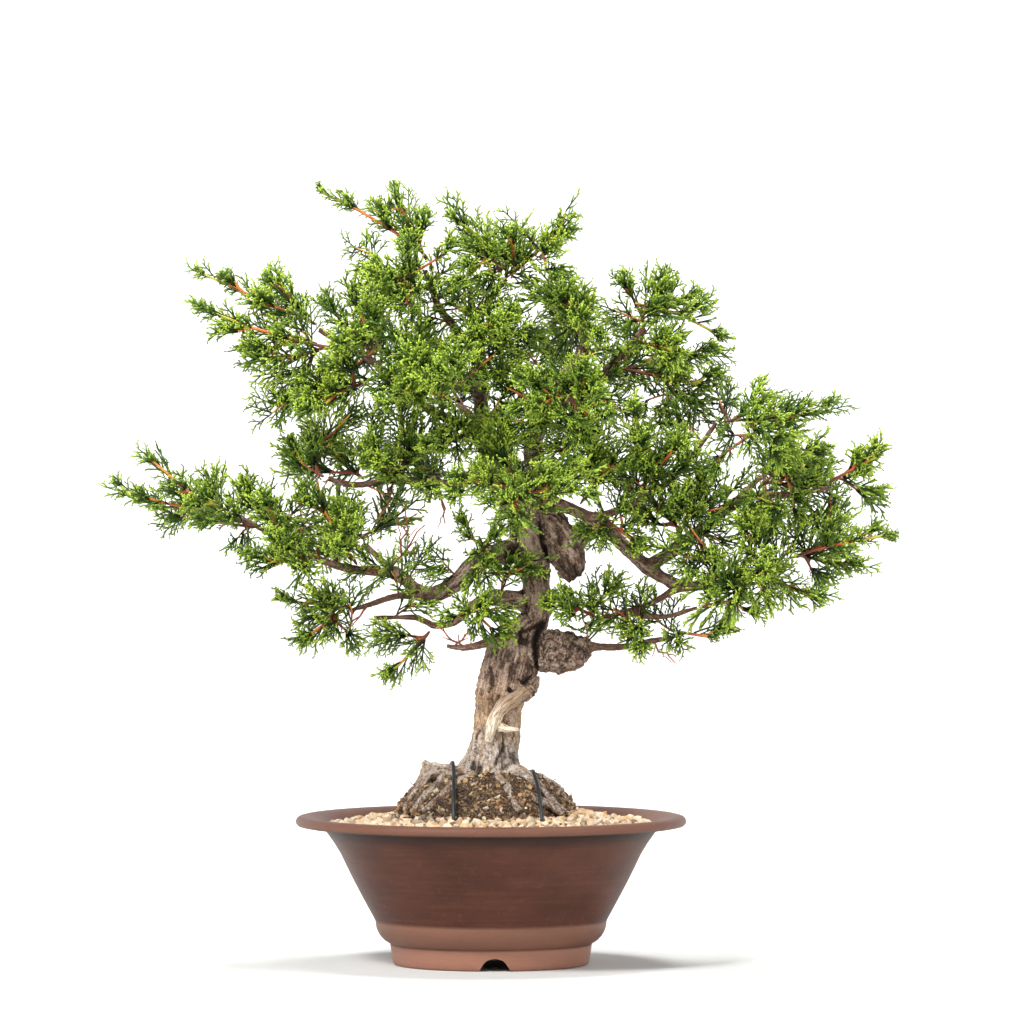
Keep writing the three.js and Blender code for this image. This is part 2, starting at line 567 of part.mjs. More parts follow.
// Where on a limb a spray grows, and which way it leaves, so that its root is just clear
// of the limb's bark.
function rootOnLimb(foot) {
  let best = { cost: Infinity };
  Object.values(LIMBS).forEach((stations) => {
    for (let i = 0; i + 1 < stations.length; i += 1) {
      const [a, b] = [vector(stations[i]), vector(stations[i + 1])];
      const axis = b.clone().sub(a).normalize();
      for (let s = 0; s <= 1; s += 0.1) {
        const point = a.clone().lerp(b, s);
        const way = foot.clone().sub(point);
        const distance = way.length();
        const cost = distance * (1.6 - 0.6 * way.dot(axis) / Math.max(distance, 1e-6));
        const thick = THREE.MathUtils.lerp(stations[i][3], stations[i + 1][3], s);
        if (distance > thick + 3 && cost < best.cost) best = { cost, point, axis, thick, distance };
      }
    }
  });
  const { point, axis, thick, distance } = best;
  const out = foot.clone().sub(point);
  out.addScaledVector(axis, -out.dot(axis)).normalize();
  const way = foot.clone().sub(point).normalize();
  const leaving = way.clone().addScaledVector(out, Math.max(0, 0.9 - way.dot(out))).normalize();
  const sine = leaving.dot(out);
  const radius = STEM_RADIUS + distance * STEM_THICKENING;
  const offset = (thick + BARK_CLEARANCE + radius * Math.sqrt(1 - sine * sine)) / sine;
  return { start: point.clone().addScaledVector(leaving, offset), leaving, radius };
}

// Pot: turned outline, notches through the foot ring, drain hole and two wire holes.
function makePot() {
  const outline = [
    [0, FLOOR_UNDERSIDE], [FOOT_INNER_RADIUS - 1, FLOOR_UNDERSIDE], [FOOT_INNER_RADIUS, 0],
    [FOOT_RADIUS - 1.5, 0], [FOOT_RADIUS, 1], [65.9, 14], [70, 16.8],
    [75.2, 28], [77.4, 31.4], [89.2, 54.6], [98, 72.9], [107, 84.6], [110, 90],
    [RIM_RADIUS - 3, 90.2], [RIM_RADIUS, 93.4],
    [RIM_RADIUS - 4.6, POT_HEIGHT], [109.5, POT_HEIGHT - 0.3], [99.5, 84.5],
    [58, FLOOR_TOP], [0, FLOOR_TOP],
  ].map(([r, z]) => new THREE.Vector2(r, z));
  const bowl = new THREE.LatheGeometry(outline, POT_SIDES);
  bowl.rotateX(Math.PI / 2);
  const arch = new THREE.Shape([
    new THREE.Vector2(-NOTCH_FOOT_WIDTH / 2, -2), new THREE.Vector2(NOTCH_FOOT_WIDTH / 2, -2),
    new THREE.Vector2(NOTCH_FOOT_WIDTH / 2, 2), new THREE.Vector2(NOTCH_TOP_WIDTH / 2, NOTCH_HEIGHT),
    new THREE.Vector2(-NOTCH_TOP_WIDTH / 2, NOTCH_HEIGHT), new THREE.Vector2(-NOTCH_FOOT_WIDTH / 2, 2),
  ]);
  const notch = new THREE.ExtrudeGeometry(arch, { depth: 160, bevelEnabled: false });
  notch.translate(2.6, 0, -80);
  notch.rotateX(Math.PI / 2);
  let pot = solidOf(bowl).subtract(solidOf(notch));
  const drill = (x, radius, sides) => {
    const hole = new THREE.CylinderGeometry(radius, radius, 20, sides);
    hole.rotateX(Math.PI / 2);
    hole.translate(x, 0, FLOOR_TOP - 4);
    pot = pot.subtract(solidOf(hole));
  };
  drill(0, DRAIN_RADIUS, 20);
  drill(-WIRE_HOLE_REACH, WIRE_HOLE_RADIUS, 8);
  drill(WIRE_HOLE_REACH, WIRE_HOLE_RADIUS, 8);
  return pot;
}

function makeScreen() {
  const sheet = new THREE.BoxGeometry(SCREEN_SIZE, SCREEN_SIZE, SCREEN_THICKNESS);
  let screen = solidOf(sheet);
  const pitch = (SCREEN_SIZE - SCREEN_STRAND) / SCREEN_OPENINGS;
  const first = -((SCREEN_OPENINGS - 1) * pitch) / 2;
  for (let i = 0; i < SCREEN_OPENINGS; i += 1) {
    for (let j = 0; j < SCREEN_OPENINGS; j += 1) {
      const width = pitch - SCREEN_STRAND;
      const opening = new THREE.BoxGeometry(width, width, 3 * SCREEN_THICKNESS);
      opening.translate(first + i * pitch, first + j * pitch, 0);
      screen = screen.subtract(solidOf(opening));
    }
  }
  return screen.translate([0, 0, FLOOR_TOP + GAP + SCREEN_THICKNESS / 2]);
}

// A round body of stacked rings of points, closed at both ends. Rings run from the top
// middle outwards and down; lift moves a ring point up or down.
function ringedSolid(rings, sectors, lift) {
  const points = [new THREE.Vector3(0, 0, rings[0][1])];
  rings.forEach(([radius, z], i) => {
    for (let k = 0; k < sectors; k += 1) {
      const angle = ((k + (i % 2) * 0.5) / sectors) * Math.PI * 2;
      points.push(new THREE.Vector3(
        Math.cos(angle) * radius, Math.sin(angle) * radius, z + lift(i, k)));
    }
  });
  points.push(new THREE.Vector3(0, 0, rings[rings.length - 1][1]));
  const faces = [];
  const at = (i, k) => 1 + i * sectors + ((k + sectors) % sectors);
  for (let k = 0; k < sectors; k += 1) {
    faces.push([0, at(0, k), at(0, k + 1)]);
    faces.push([points.length - 1, at(rings.length - 1, k + 1), at(rings.length - 1, k)]);
    for (let i = 0; i + 1 < rings.length; i += 1) {
      const shift = i % 2;
      const [a, b] = [at(i, k), at(i, k + 1)];
      const [c, d] = [at(i + 1, k + shift), at(i + 1, k + 1 + shift)];
      if (shift === 0) faces.push([a, c, b], [b, c, d]);
      else faces.push([a, at(i + 1, k), c], [a, c, b]);
    }
  }
  return solidFrom(points, faces);
}

// Root ball: old dark soil and fine roots, a mound above the gravel and a bowl within it.
function makeBall(extra, relief) {
  const random = seededRandom(71);
  const rings = [[24, 126], [37, 120.5], [48, 114], [56, 105], [60, 95], [44, 58]];
  const body = ringedSolid(
    rings.map(([r, z], i) => [r + extra, i < 5 ? z + extra : z - extra]), BALL_SECTORS,
    (i) => (i < 5 ? (random() - 0.5) * 2 * relief : 0));
  return body.translate([BALL_CENTRE_X, 0, 0]);
}

// Gravel: fills the pot, with the grains raised over its top.
function makeGravel() {
  const random = seededRandom(19);
  const rings = [[40, 98]];
  for (let r = 60; r <= 60 + GRAVEL_GRAIN * 4; r += GRAVEL_GRAIN) {
    rings.push([r, THREE.MathUtils.mapLinear(r, 60, 103, 97.5, GRAVEL_EDGE_HEIGHT)]);
  }
  rings.push([103, GRAVEL_EDGE_HEIGHT], [98, 84], [56, FLOOR_TOP + GAP]);
  const top = rings.length - 3;
  return ringedSolid(rings, GRAVEL_SECTORS, (i, k) => {
    if (i === 0 || i > top) return 0;
    const crest = (i + k) % 2 === 0 ? 1 : -1;
    return crest * GRAVEL_RELIEF * (0.4 + 0.6 * random());
  });
}

const model = new THREE.Group();

// The wood is laid out first, so that the sprays can keep clear of it.
[TRUNK, ...LUMPS, ...Object.values(LIMBS)].forEach((stations) => takeStations(stations, "wood"));

// The stems of all sprays are settled before any is dressed with tufts.
const sprays = SPRAYS.map(({ foot, tips }, index) => {
  const owner = `foliage_spray_${String(index + 1).padStart(2, "0")}`;
  const random = seededRandom(500 + index * 37);
  const skin = new Skin();
  const { start, leaving, radius } = rootOnLimb(vector(foot));
  const main = stemCurve(start, leaving, vector(foot), vector(tips[0]), radius, owner, random);
  if (!main) throw new Error(`${owner}: no room for its stem`);
  const axis = main.curve.getTangentAt(0);
  const side = new THREE.Vector3(0.3, 0.2, 1).cross(axis).normalize();
  const corners = [0, 1, 2].map((k) => skin.add(start.clone().addScaledVector(
    side.clone().applyAxisAngle(axis, (k * Math.PI * 2) / 3), radius)));
  skin.face(corners[0], corners[2], corners[1]);
  const zones = growStem(skin, corners, main, tips[0][3], radius, owner, tips.length);
  const forkable = zones.splice(0, tips.length - 1);
  tips.slice(1).forEach(([x, y, z, width]) => {
    const tip = new THREE.Vector3(x, y, z);
    const { sides } = forkable.shift();
    const wanted = tip.clone().sub(vector(foot)).normalize();
    const face = sides.reduce((best, each) => (
      skin.outward(each).dot(wanted) > skin.outward(best).dot(wanted) ? each : best));
    const from = skin.centre(face);
    const fork = stemCurve(from, skin.outward(face), from, tip, STEM_RADIUS, owner, random);
    if (!fork) throw new Error(`${owner}: no room for its fork`);
    zones.push(...growStem(skin, face, fork, width, STEM_RADIUS * 0.9, owner, 1));
  });
  return { owner, skin, zones, random, height: tips[0][2] };
});
sprays.forEach(({ owner, skin, zones, random }) => {
  zones.forEach((zone, index) => dressZone(zone, index, skin, owner, random));
});

// Wood: trunk, lumps, roots and limbs grown into one.
const rootSolids = (extra) => ROOTS.map((stations) => limbSolid(stations, 5, extra));
const trunk = limbSolid(TRUNK, 11, 0, 0.06);
const sidesFor = (radius) => {
  if (radius > 6) return 7;
  return radius > 3.5 ? 5 : 4;
};
const wood = kit.Manifold.union([
  trunk,
  ...LUMPS.map((stations) => limbSolid(stations, stations[1][3] > 6 ? 9 : 6)),
  ...Object.values(LIMBS).map((stations) => limbSolid(stations, sidesFor(stations[0][3]))),
  ...rootSolids(0),
]);

// Holes for the wood and the ties in the soil.
const trunkHole = limbSolid(TRUNK.slice(0, 4), 11, GAP * 1.6, 0.06);
const tieSolid = (path, extra) => limbSolid(path.map((p) => [...p, TIE_RADIUS]), TIE_SIDES, extra);
const tieHoles = kit.Manifold.union(Object.values(TIES).map((path) => tieSolid(path, GAP)));
const holes = kit.Manifold.union([trunkHole, ...rootSolids(GAP * 1.3), tieHoles]);
const pocketWidth = SCREEN_SIZE + 1;
const screenPocket = new THREE.BoxGeometry(pocketWidth, pocketWidth, 2 * (SCREEN_THICKNESS + 2 * GAP));
screenPocket.translate(0, 0, FLOOR_TOP + GAP);
const gravel = makeGravel().subtract(makeBall(GAP, BALL_RELIEF))
  .subtract(tieHoles).subtract(solidOf(screenPocket));
const rootBall = mainBody(makeBall(0, BALL_RELIEF).subtract(holes)).simplify(SMALLEST_STEP);

model.add(
  named("pot", geometryOf(makePot()), COLOURS.clay, 0.7),
  named("drain_screen", geometryOf(makeScreen()), COLOURS.net, 0.6),
  named("gravel", geometryOf(mainBody(gravel)), COLOURS.gravel, 0.95),
  named("root_ball", geometryOf(rootBall), COLOURS.old_soil, 0.95),
  named("trunk_and_branches", geometryOf(mainBody(wood).simplify(SMALLEST_STEP)), COLOURS.bark, 0.9),
);
Object.entries(TIES).forEach(([name, path]) => {
  model.add(named(name, geometryOf(tieSolid(path, 0)), COLOURS.cord, 0.55));
});
sprays.forEach(({ owner, skin, height }) => {
  let colour = COLOURS.shade;
  if (height > LEAF_HEIGHT) colour = COLOURS.leaf;
  if (height > FRESH_HEIGHT) colour = COLOURS.fresh;
  model.add(named(owner, geometryFrom(skin.points, [...skin.faces]), colour, 0.75));
});

export default model;
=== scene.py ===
import itertools
import json
import math

import bmesh
import bpy
import numpy as np
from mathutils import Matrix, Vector

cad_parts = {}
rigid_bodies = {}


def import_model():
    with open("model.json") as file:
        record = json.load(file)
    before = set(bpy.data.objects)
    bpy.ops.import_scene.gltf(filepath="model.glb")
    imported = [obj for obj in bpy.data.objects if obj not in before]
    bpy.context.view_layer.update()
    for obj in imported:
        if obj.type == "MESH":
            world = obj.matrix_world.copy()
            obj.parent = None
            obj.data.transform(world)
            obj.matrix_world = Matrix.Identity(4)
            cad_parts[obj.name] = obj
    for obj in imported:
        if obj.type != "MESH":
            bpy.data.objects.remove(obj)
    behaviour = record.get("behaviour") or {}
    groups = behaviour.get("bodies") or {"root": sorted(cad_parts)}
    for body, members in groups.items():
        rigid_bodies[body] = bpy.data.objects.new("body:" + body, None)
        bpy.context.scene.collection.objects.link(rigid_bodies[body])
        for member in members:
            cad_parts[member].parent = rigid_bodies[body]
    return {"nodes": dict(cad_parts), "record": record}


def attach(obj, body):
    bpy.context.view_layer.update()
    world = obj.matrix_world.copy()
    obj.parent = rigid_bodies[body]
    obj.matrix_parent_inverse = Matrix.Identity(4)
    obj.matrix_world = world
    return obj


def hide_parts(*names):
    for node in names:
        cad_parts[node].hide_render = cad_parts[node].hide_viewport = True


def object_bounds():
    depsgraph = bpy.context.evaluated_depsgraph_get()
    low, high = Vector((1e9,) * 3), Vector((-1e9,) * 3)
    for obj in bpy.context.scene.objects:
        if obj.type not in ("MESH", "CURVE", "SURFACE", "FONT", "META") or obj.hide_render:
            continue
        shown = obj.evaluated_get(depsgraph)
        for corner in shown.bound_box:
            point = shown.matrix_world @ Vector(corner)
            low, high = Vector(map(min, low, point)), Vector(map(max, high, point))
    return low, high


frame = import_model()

bl_info = {
    "name": "Itoigawa juniper bonsai",
    "version": (1, 0, 0),
    "blender": (4, 5, 0),
    "location": "View3D > Sidebar > Bonsai",
    "description": "Bark, foliage, soil and pot for the packed juniper model",
    "category": "Object",
}

# The solid model's box, kept before anything is dressed.
CAD_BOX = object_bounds()
MM = 0.001
# Points nearer than this are one point, in metres.
SAME_POINT = 1e-6
# Keeps a length that may be nought from being divided by.
TINY = 1e-9
# How far inside the solid model's box every dressed point stays, in millimetres.
BOX_MARGIN = 0.05
SPRAYS = sorted(name for name in frame["nodes"] if name.startswith("foliage_spray_"))

# Wood stations in millimetres, as the solid model has them: x, y, z and radius.
TRUNK = [
    (-3, 0, 108, 24), (-2, 0, 120, 21), (0.5, 0, 130, 17.6), (2, 0, 143, 15), (4, 0, 155, 15),
    (4.7, 0, 167, 15.2), (8, 0, 180, 16.8), (12, 0, 192, 17.4), (14.5, 0, 204, 15),
    (20, 0, 214, 12), (28, 0, 224, 9.4), (30, 0, 236, 8.8), (29, 0, 250, 9),
    (27.5, 0, 262, 10.6), (25, 0, 275, 12.6), (24, 1, 286, 11.4), (23, 2, 296, 8),
]
SWIRL = [(30, 0, 288, 8.5), (41, -5, 285, 10), (48, -9, 271, 10.2), (52, -11, 259, 8.8),
         (55, -12, 252.5, 4.5)]
BURL = [(22, -1, 204, 8), (31, -3, 204, 11.6), (40, -4, 203.8, 13.3), (48.5, -4, 204, 13.2),
        (54.5, -4, 204.8, 10.2), (59, -4, 206, 6)]
KNOT = [(16, -4, 178, 6), (22, -6, 181, 8), (26.5, -6, 183.5, 5)]
JIN = [(22, -12, 178, 3), (17, -15.8, 174.5, 4), (11, -17.6, 171, 4.3), (5, -18.3, 166, 4),
       (1.5, -18.8, 159, 3.3), (-0.5, -18.3, 152, 2.8), (-1.5, -17.3, 146, 2)]
JIN_SPUR = [(4, -17, 155.5, 2.6), (10, -18.5, 154.3, 1.8), (17.5, -19, 154, 1.1)]
LIMBS = [
    [(23, 0, 271, 8), (6, -1, 267, 7), (-7, -2, 263, 6.2), (-17, -4, 254, 5.9),
     (-27, -4, 246, 5.5), (-41, -2, 240, 4.8), (-52, 2, 247, 3.8), (-62, 4, 254, 3.3),
     (-95, 6, 258, 2.6), (-122, 10, 268, 2.2), (-152, 20, 284, 1.8), (-164, 40, 290, 1.5)],
    [(24, -1, 236, 6.5), (3, -4, 239, 5.4), (-13, -6, 233, 3.2), (-24, -6, 223, 2.3),
     (-38, -6, 221, 2.2), (-48, -7, 226, 1.8), (-76, -8, 226, 1.3)],
    [(-40, -2, 240, 2.6), (-60, 0, 240, 2.2), (-80, 0, 234, 1.8), (-92, 2, 230, 1.4)],
    [(-60, 4, 254, 2.8), (-72, 30, 262, 2.2), (-82, 62, 271, 1.5)],
    [(8, -8, 213, 4), (-6, -12, 209, 2.6), (-18, -13, 206.5, 2.1), (-29, -13, 208, 1.2)],
    [(23, 2, 290, 8.6), (12, 8, 302, 7), (2, 10, 318, 6), (-5, 8, 345, 5), (-7, 4, 372, 4.4),
     (-8, 2, 398, 3.6), (-12, 0, 422, 2.6), (-14, 0, 440, 1.6)],
    [(2, 10, 318, 4), (-10, 14, 322, 3.5), (-18, 14, 313, 3), (-34, 12, 313, 2.7),
     (-62, 10, 315, 2.4), (-88, 6, 312, 2), (-106, 6, 316, 1.5)],
    [(-5, 8, 345, 4.2), (-22, 8, 352, 3.3), (-45, 4, 364, 2.9), (-62, 0, 380, 2.7),
     (-80, -2, 394, 2.3), (-112, 2, 413, 1.5)],
    [(-8, 2, 396, 3.1), (-22, 0, 413, 2.8), (-34, 0, 428, 2.3), (-43, 0, 452, 1.6)],
    [(-12, 0, 420, 2.3), (0, 2, 434, 2), (10, 2, 446, 1.6)],
    [(26, 4, 292, 8.4), (31, 10, 310, 7), (28, 12, 335, 6), (33, 8, 358, 5.2),
     (44, 4, 378, 4.5), (58, 2, 396, 3.6), (62, 1, 418, 2)],
    [(33, 8, 358, 4.2), (52, 14, 366, 3.5), (72, 12, 382, 3.2), (88, 6, 400, 2.7),
     (100, 3, 414, 1.8)],
    [(49, -8, 268, 7), (57, -9, 279, 6.8), (68, -9, 285, 5.6), (80, -10, 279, 4.8),
     (90, -12, 269, 4.4), (100, -13, 260, 4.2), (112, -13, 252, 3.7), (124, -12, 247, 3.2),
     (146, -10, 248, 2.7), (178, -6, 256, 2), (194, -4, 261, 1.6)],
    [(102, -13, 259, 3.8), (115, -8, 268, 4), (128, -4, 277, 4), (143, 0, 288, 3.5),
     (157, 2, 299, 3), (172, 4, 305, 2.5), (196, -2, 306, 2), (218, -28, 311, 1.5)],
    [(157, 2, 299, 2.6), (168, 28, 309, 2), (177, 50, 316, 1.5)],
    [(124, -12, 247, 2.2), (112, -13, 240, 2), (100, -14, 234, 1.7), (68, -16, 225, 1.3)],
    [(88, -15, 229, 1.7), (112, -18, 227, 1.6), (134, -18, 233, 1.3)],
    [(56, -4, 206, 4), (66, -4, 207, 2.6), (84, -6, 207, 2.2), (104, -9, 211, 1.9),
     (118, -12, 213, 1.5)],
    [(31, 8, 304, 5), (49, -4, 298, 3.6), (66, -13, 292, 3), (82, -19, 296, 2.6),
     (98, -22, 304, 2.4), (117, -24, 316, 2.1), (130, -26, 331, 1.8), (146, -26, 353, 1.5)],
    [(26, -4, 288, 6), (28, -26, 301, 3.8), (25, -48, 306, 2.6), (20, -64, 305, 1.7)],
    [(25, 4, 286, 7), (26, 30, 297, 4.4), (20, 60, 307, 2.9), (14, 84, 315, 1.7)],
    [(-5, 8, 345, 4), (-13, 36, 356, 2.8), (-22, 64, 363, 1.7)],
    [(33, 8, 358, 4), (44, 36, 366, 2.8), (57, 64, 373, 1.7)],
    [(-7, 4, 372, 3.6), (-18, -20, 376, 2.6), (-29, -42, 380, 1.6)],
    [(33, 8, 358, 3.6), (42, -18, 364, 2.7), (52, -40, 368, 1.6)],
]
ROOTS = [
    [(-12, -8, 124, 5), (-22, -14, 126.5, 3.6), (-32, -16, 127.4, 3.4), (-40, -17, 127.4, 3.5),
     (-44.5, -18, 120, 3), (-50, -19, 110, 2.8), (-55, -20, 102, 2.4)],
    [(-10, -12, 120, 5), (-20, -27, 117, 3.6), (-31, -38, 108, 2.4)],
    [(8, -10, 122, 6), (20, -16, 125, 4), (29, -21, 118, 3.4), (38, -27, 107, 2)],
    [(14, 2, 122, 6), (30, 0, 120, 4.4), (42, -8, 113, 4), (49, -14, 105, 2)],
    [(-8, 12, 120, 6), (-20, 28, 117, 4), (-28, 40, 108, 2.2)],
    [(8, 12, 120, 6), (19, 28, 117, 4), (24, 40, 108, 2.2)],
]
# Wood too small for the solid model: roots on the mound, and a snag on the collar.
SURFACE_ROOTS = [
    [(-10, -16, 123, 3.4), (-20, -28, 119.8, 2.6), (-27, -38, 115.6, 2.7), (-36, -41, 108, 1.8),
     (-44, -42, 102, 2)],
    [(2, -18, 125, 2.8), (6, -30, 121.6, 2.2), (11, -40, 117.4, 2.6), (13, -47, 110.4, 1.9),
     (19, -52, 102.6, 1.9)],
    [(14, -14, 124.5, 3.2), (24, -22, 121, 2.6), (31, -29, 116.8, 2.7), (40, -36, 107.6, 2.1),
     (47, -37, 101, 1.9)],
    [(22, -34, 113.5, 2.2), (29, -41, 110.5, 2.4), (38, -42, 106, 1.9), (46, -40, 100.5, 1.5)],
    [(-30, -16, 123.5, 2.4), (-35, -27, 118.4, 1.9), (-42, -33, 112.4, 2.2), (-50, -33, 102, 1.6)],
    [(-39, -17, 127.5, 2.6), (-42, -19, 130.5, 2.2), (-43.5, -20, 132.6, 1.6)],
    [(20, 6, 123.5, 3), (31, 14, 119.6, 2.2), (42, 20, 113.8, 2.5), (51, 24, 103, 1.7)],
    [(-22, 8, 123.5, 3), (-36, 13, 118.2, 2), (-47, 16, 112, 2.1), (-58, 18, 100.6, 1.5)],
]
SNAG = [(53, -10, 202, 2.6), (57, -15, 198.5, 1.7), (60.5, -17, 195.5, 0.8)]
# Clefts seen from the front, which the bark paints dark as shade: x, z and half width along each,
# and how deep it goes.
CLEFTS = [
    (4.5, [(33.5, 221, 1.5), (29.5, 214, 1.9), (28.6, 203, 1.8), (30.5, 189, 1)]),
    (2.6, [(33, 222, 1.2), (26, 219, 1.2), (17, 216, 0.7)]),
    (3.4, [(31.5, 288, 0.9), (33.5, 276, 1.3), (37, 264, 0.8)]),
    (2.6, [(-7, 153, 0.6), (-9.5, 146, 1), (-10, 138, 0.8), (-12, 128, 1)]),
    (2.4, [(7, 152, 0.6), (8.2, 143, 1), (5, 136, 0.7), (3, 131, 0.5)]),
    (2.0, [(-1, 196, 0.5), (1, 188, 0.8), (-1, 178, 0.5)]),
    (2.0, [(20, 243, 0.6), (23, 233, 0.9), (21, 226, 0.6)]),
    (3.0, [(17, 187, 0.8), (21.5, 184, 1.4), (26, 188, 0.9)]),
    (2.6, [(12, 180, 0.8), (14.5, 177.5, 1.1), (20, 172.5, 0.9)]),
]
TIES = {
    "tie_left": [(-24, -60, 86), (-24, -60.5, 99), (-24, -56, 108), (-24, -50, 114.5),
                 (-24, -41, 121), (-24, -29, 126.4), (-24.5, -20, 131.2), (-25, -14.5, 132.4),
                 (-26, -8.5, 130.6), (-29, -4.5, 124), (-31, -3, 112)],
    "tie_right": [(33, -57, 86), (33, -57.5, 98.5), (32, -52, 107), (31, -45, 114),
                  (30, -36, 119.5), (28.5, -27, 124.2), (27.5, -20, 126.6), (27.5, -13.5, 125),
                  (28, -10, 119), (28, -9.5, 107)],
}


def linear(hex_colour):
    """An sRGB hex colour as a linear RGBA tuple."""
    parts = [int(hex_colour[i:i + 2], 16) / 255 for i in (1, 3, 5)]
    return tuple(c / 12.92 if c <= 0.04045 else ((c + 0.055) / 1.055) ** 2.4
                 for c in parts) + (1.0,)


def rgba(colour):
    """A colour from the settings with its alpha."""
    return tuple(colour) + (1.0,)


def unit(vector):
    """A vector made one long."""
    return vector / np.linalg.norm(vector)


def inside_box(points):
    """Points in millimetres, held just inside the solid model's box."""
    low, high = (np.array(corner) / MM for corner in CAD_BOX)
    return np.clip(points, low + BOX_MARGIN, high - BOX_MARGIN)


def add_node(tree, kind, inputs=None, **settings):
    """Adds a node with its settings; inputs are values or the sockets that feed them."""
    node = tree.nodes.new(kind)
    for name, value in settings.items():
        setattr(node, name, value)
    for key, value in (inputs or {}).items():
        if isinstance(value, bpy.types.NodeSocket):
            tree.links.new(value, node.inputs[key])
        else:
            node.inputs[key].default_value = value
    return node


# Smooth noise

# Large odd numbers that scramble a cell's place and the seed into a random height.
CELL_STEPS = np.array((73856093, 19349663, 83492791))
SEED_STEP = 2654435
MIXER = 1274126177
TOP_HEIGHT = 0xFFFF


def noise(points, seed=0):
    """Smooth random heights from -1 to 1 at each point, with one lump a unit."""
    points = np.asarray(points, float)
    cell = np.floor(points).astype(np.int64)
    part = points - cell
    part = part * part * (3 - 2 * part)
    total = np.zeros(len(points))
    for corner in itertools.product((0, 1), repeat=3):
        key = np.bitwise_xor.reduce((cell + np.array(corner)) * CELL_STEPS, axis=1)
        key ^= seed * SEED_STEP
        key = (key ^ (key >> 13)) * MIXER & 0xFFFFFFFF
        key = (key ^ (key >> 16)) & TOP_HEIGHT
        weight = np.prod(np.where(corner, part, 1 - part), axis=1)
        total += weight * key / (TOP_HEIGHT / 2)
    return total - 1


# Meshes

# Where a tube's first side looks, and the first side of the grain round a limb.
TUBE_ACROSS = np.array((0.3, 0.2, 1.0))
GRAIN_ACROSS = np.array((1.0, 0.2, 0.1))
STEM_SIDES = 5


def mesh_from(name, verts, faces):
    """A mesh from points in millimetres."""
    mesh = bpy.data.meshes.new(name)
    mesh.from_pydata((np.asarray(verts, float) * MM).tolist(), [], faces)
    mesh.update()
    return mesh


def shade(mesh, smooth=True):
    """Marks every face of a mesh as smooth or flat."""
    mesh.polygons.foreach_set("use_smooth", [smooth] * len(mesh.polygons))


def place(name, mesh, material=None, smooth=True):
    """A new object for a finished mesh."""
    piece = bpy.data.objects.new(name, mesh)
    bpy.context.scene.collection.objects.link(piece)
    if material:
        mesh.materials.clear()
        mesh.materials.append(material)
    shade(mesh, smooth)
    return piece


def hand_over(piece, slot, *nodes):
    """Ties a finished piece to the tree and hides the nodes it stands for; its slot is not used."""
    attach(piece, "root")
    if nodes:
        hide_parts(*nodes)


def evaluated_mesh(piece):
    """A plain copy of a piece's mesh with its modifiers done."""
    graph = bpy.context.evaluated_depsgraph_get()
    return bpy.data.meshes.new_from_object(piece.evaluated_get(graph))


def merged_copy(node):
    """A CAD node's mesh with its loose triangles joined, as a bmesh."""
    shape = bmesh.new()
    shape.from_mesh(frame["nodes"][node].data)
    bmesh.ops.remove_doubles(shape, verts=shape.verts, dist=SAME_POINT)
    return shape


def set_values(mesh, name, values, kind="FLOAT"):
    """Stores one value or vector for each vertex."""
    layer = mesh.attributes.new(name, kind, "POINT")
    key = "vector" if kind == "FLOAT_VECTOR" else "value"
    number = np.int32 if kind == "INT" else np.float32
    layer.data.foreach_set(key, np.asarray(values, number).ravel())


def points_of(mesh):
    """Vertex positions in millimetres."""
    places = np.empty(len(mesh.vertices) * 3, np.float32)
    mesh.vertices.foreach_get("co", places)
    return places.reshape(-1, 3).astype(float) / MM


def move_points(mesh, places):
    """Writes vertex positions given in millimetres."""
    mesh.vertices.foreach_set("co", (np.asarray(places) * MM).astype(np.float32).ravel())
    mesh.update()


def path_frames(path, across):
    """Two ways square to a path at each of its points, that turn as little as they can."""
    frames = []
    for i in range(len(path)):
        axis = unit(path[min(i + 1, len(path) - 1)] - path[max(i - 1, 0)])
        across = unit(across - axis * across.dot(axis))
        frames.append((across, np.cross(axis, across)))
    return np.array(frames)


def ring(radius, height, sides, centre_x=0.0):
    """Points of a level circle."""
    angles = [2 * math.pi * k / sides for k in range(sides)]
    return [(centre_x + radius * math.cos(a), radius * math.sin(a), height) for a in angles]


def ring_faces(rings, sides):
    """Faces that join rings of points, each ring to the next."""
    faces = []
    for i in range(rings - 1):
        for k in range(sides):
            a, b = i * sides + k, i * sides + (k + 1) % sides
            faces.append((a, b, b + sides, a + sides))
    return faces


def tube(path, radii, sides):
    """Points and faces of a round tube along a path, closed at both ends."""
    path = np.asarray(path, float)
    verts = []
    for centre, radius, (across, side) in zip(path, radii, path_frames(path, TUBE_ACROSS)):
        for k in range(sides):
            angle = 2 * math.pi * k / sides
            verts.append(centre + radius * (math.cos(angle) * across + math.sin(angle) * side))
    faces = ring_faces(len(path), sides)
    faces.append(tuple(range(sides))[::-1])
    faces.append(tuple(range((len(path) - 1) * sides, len(path) * sides)))
    return verts, faces


class Stems:
    """Thin five-sided stems gathered into one mesh, each point with its age."""

    def __init__(self):
        self.verts, self.faces, self.ages = [], [], []

    def add(self, path, radii, ages):
        """Adds a stem along a path; radii and ages are those of its two ends."""
        points, sheets = tube(path, np.linspace(*radii, len(path)), STEM_SIDES)
        self.faces.extend([tuple(i + len(self.verts) for i in sheet) for sheet in sheets])
        self.verts.extend(points)
        self.ages.extend(np.repeat(np.linspace(*ages, len(path)), STEM_SIDES))

    def mesh(self, name):
        """The mesh of all the stems."""
        mesh = mesh_from(name, self.verts, self.faces)
        set_values(mesh, "age", self.ages)
        return mesh


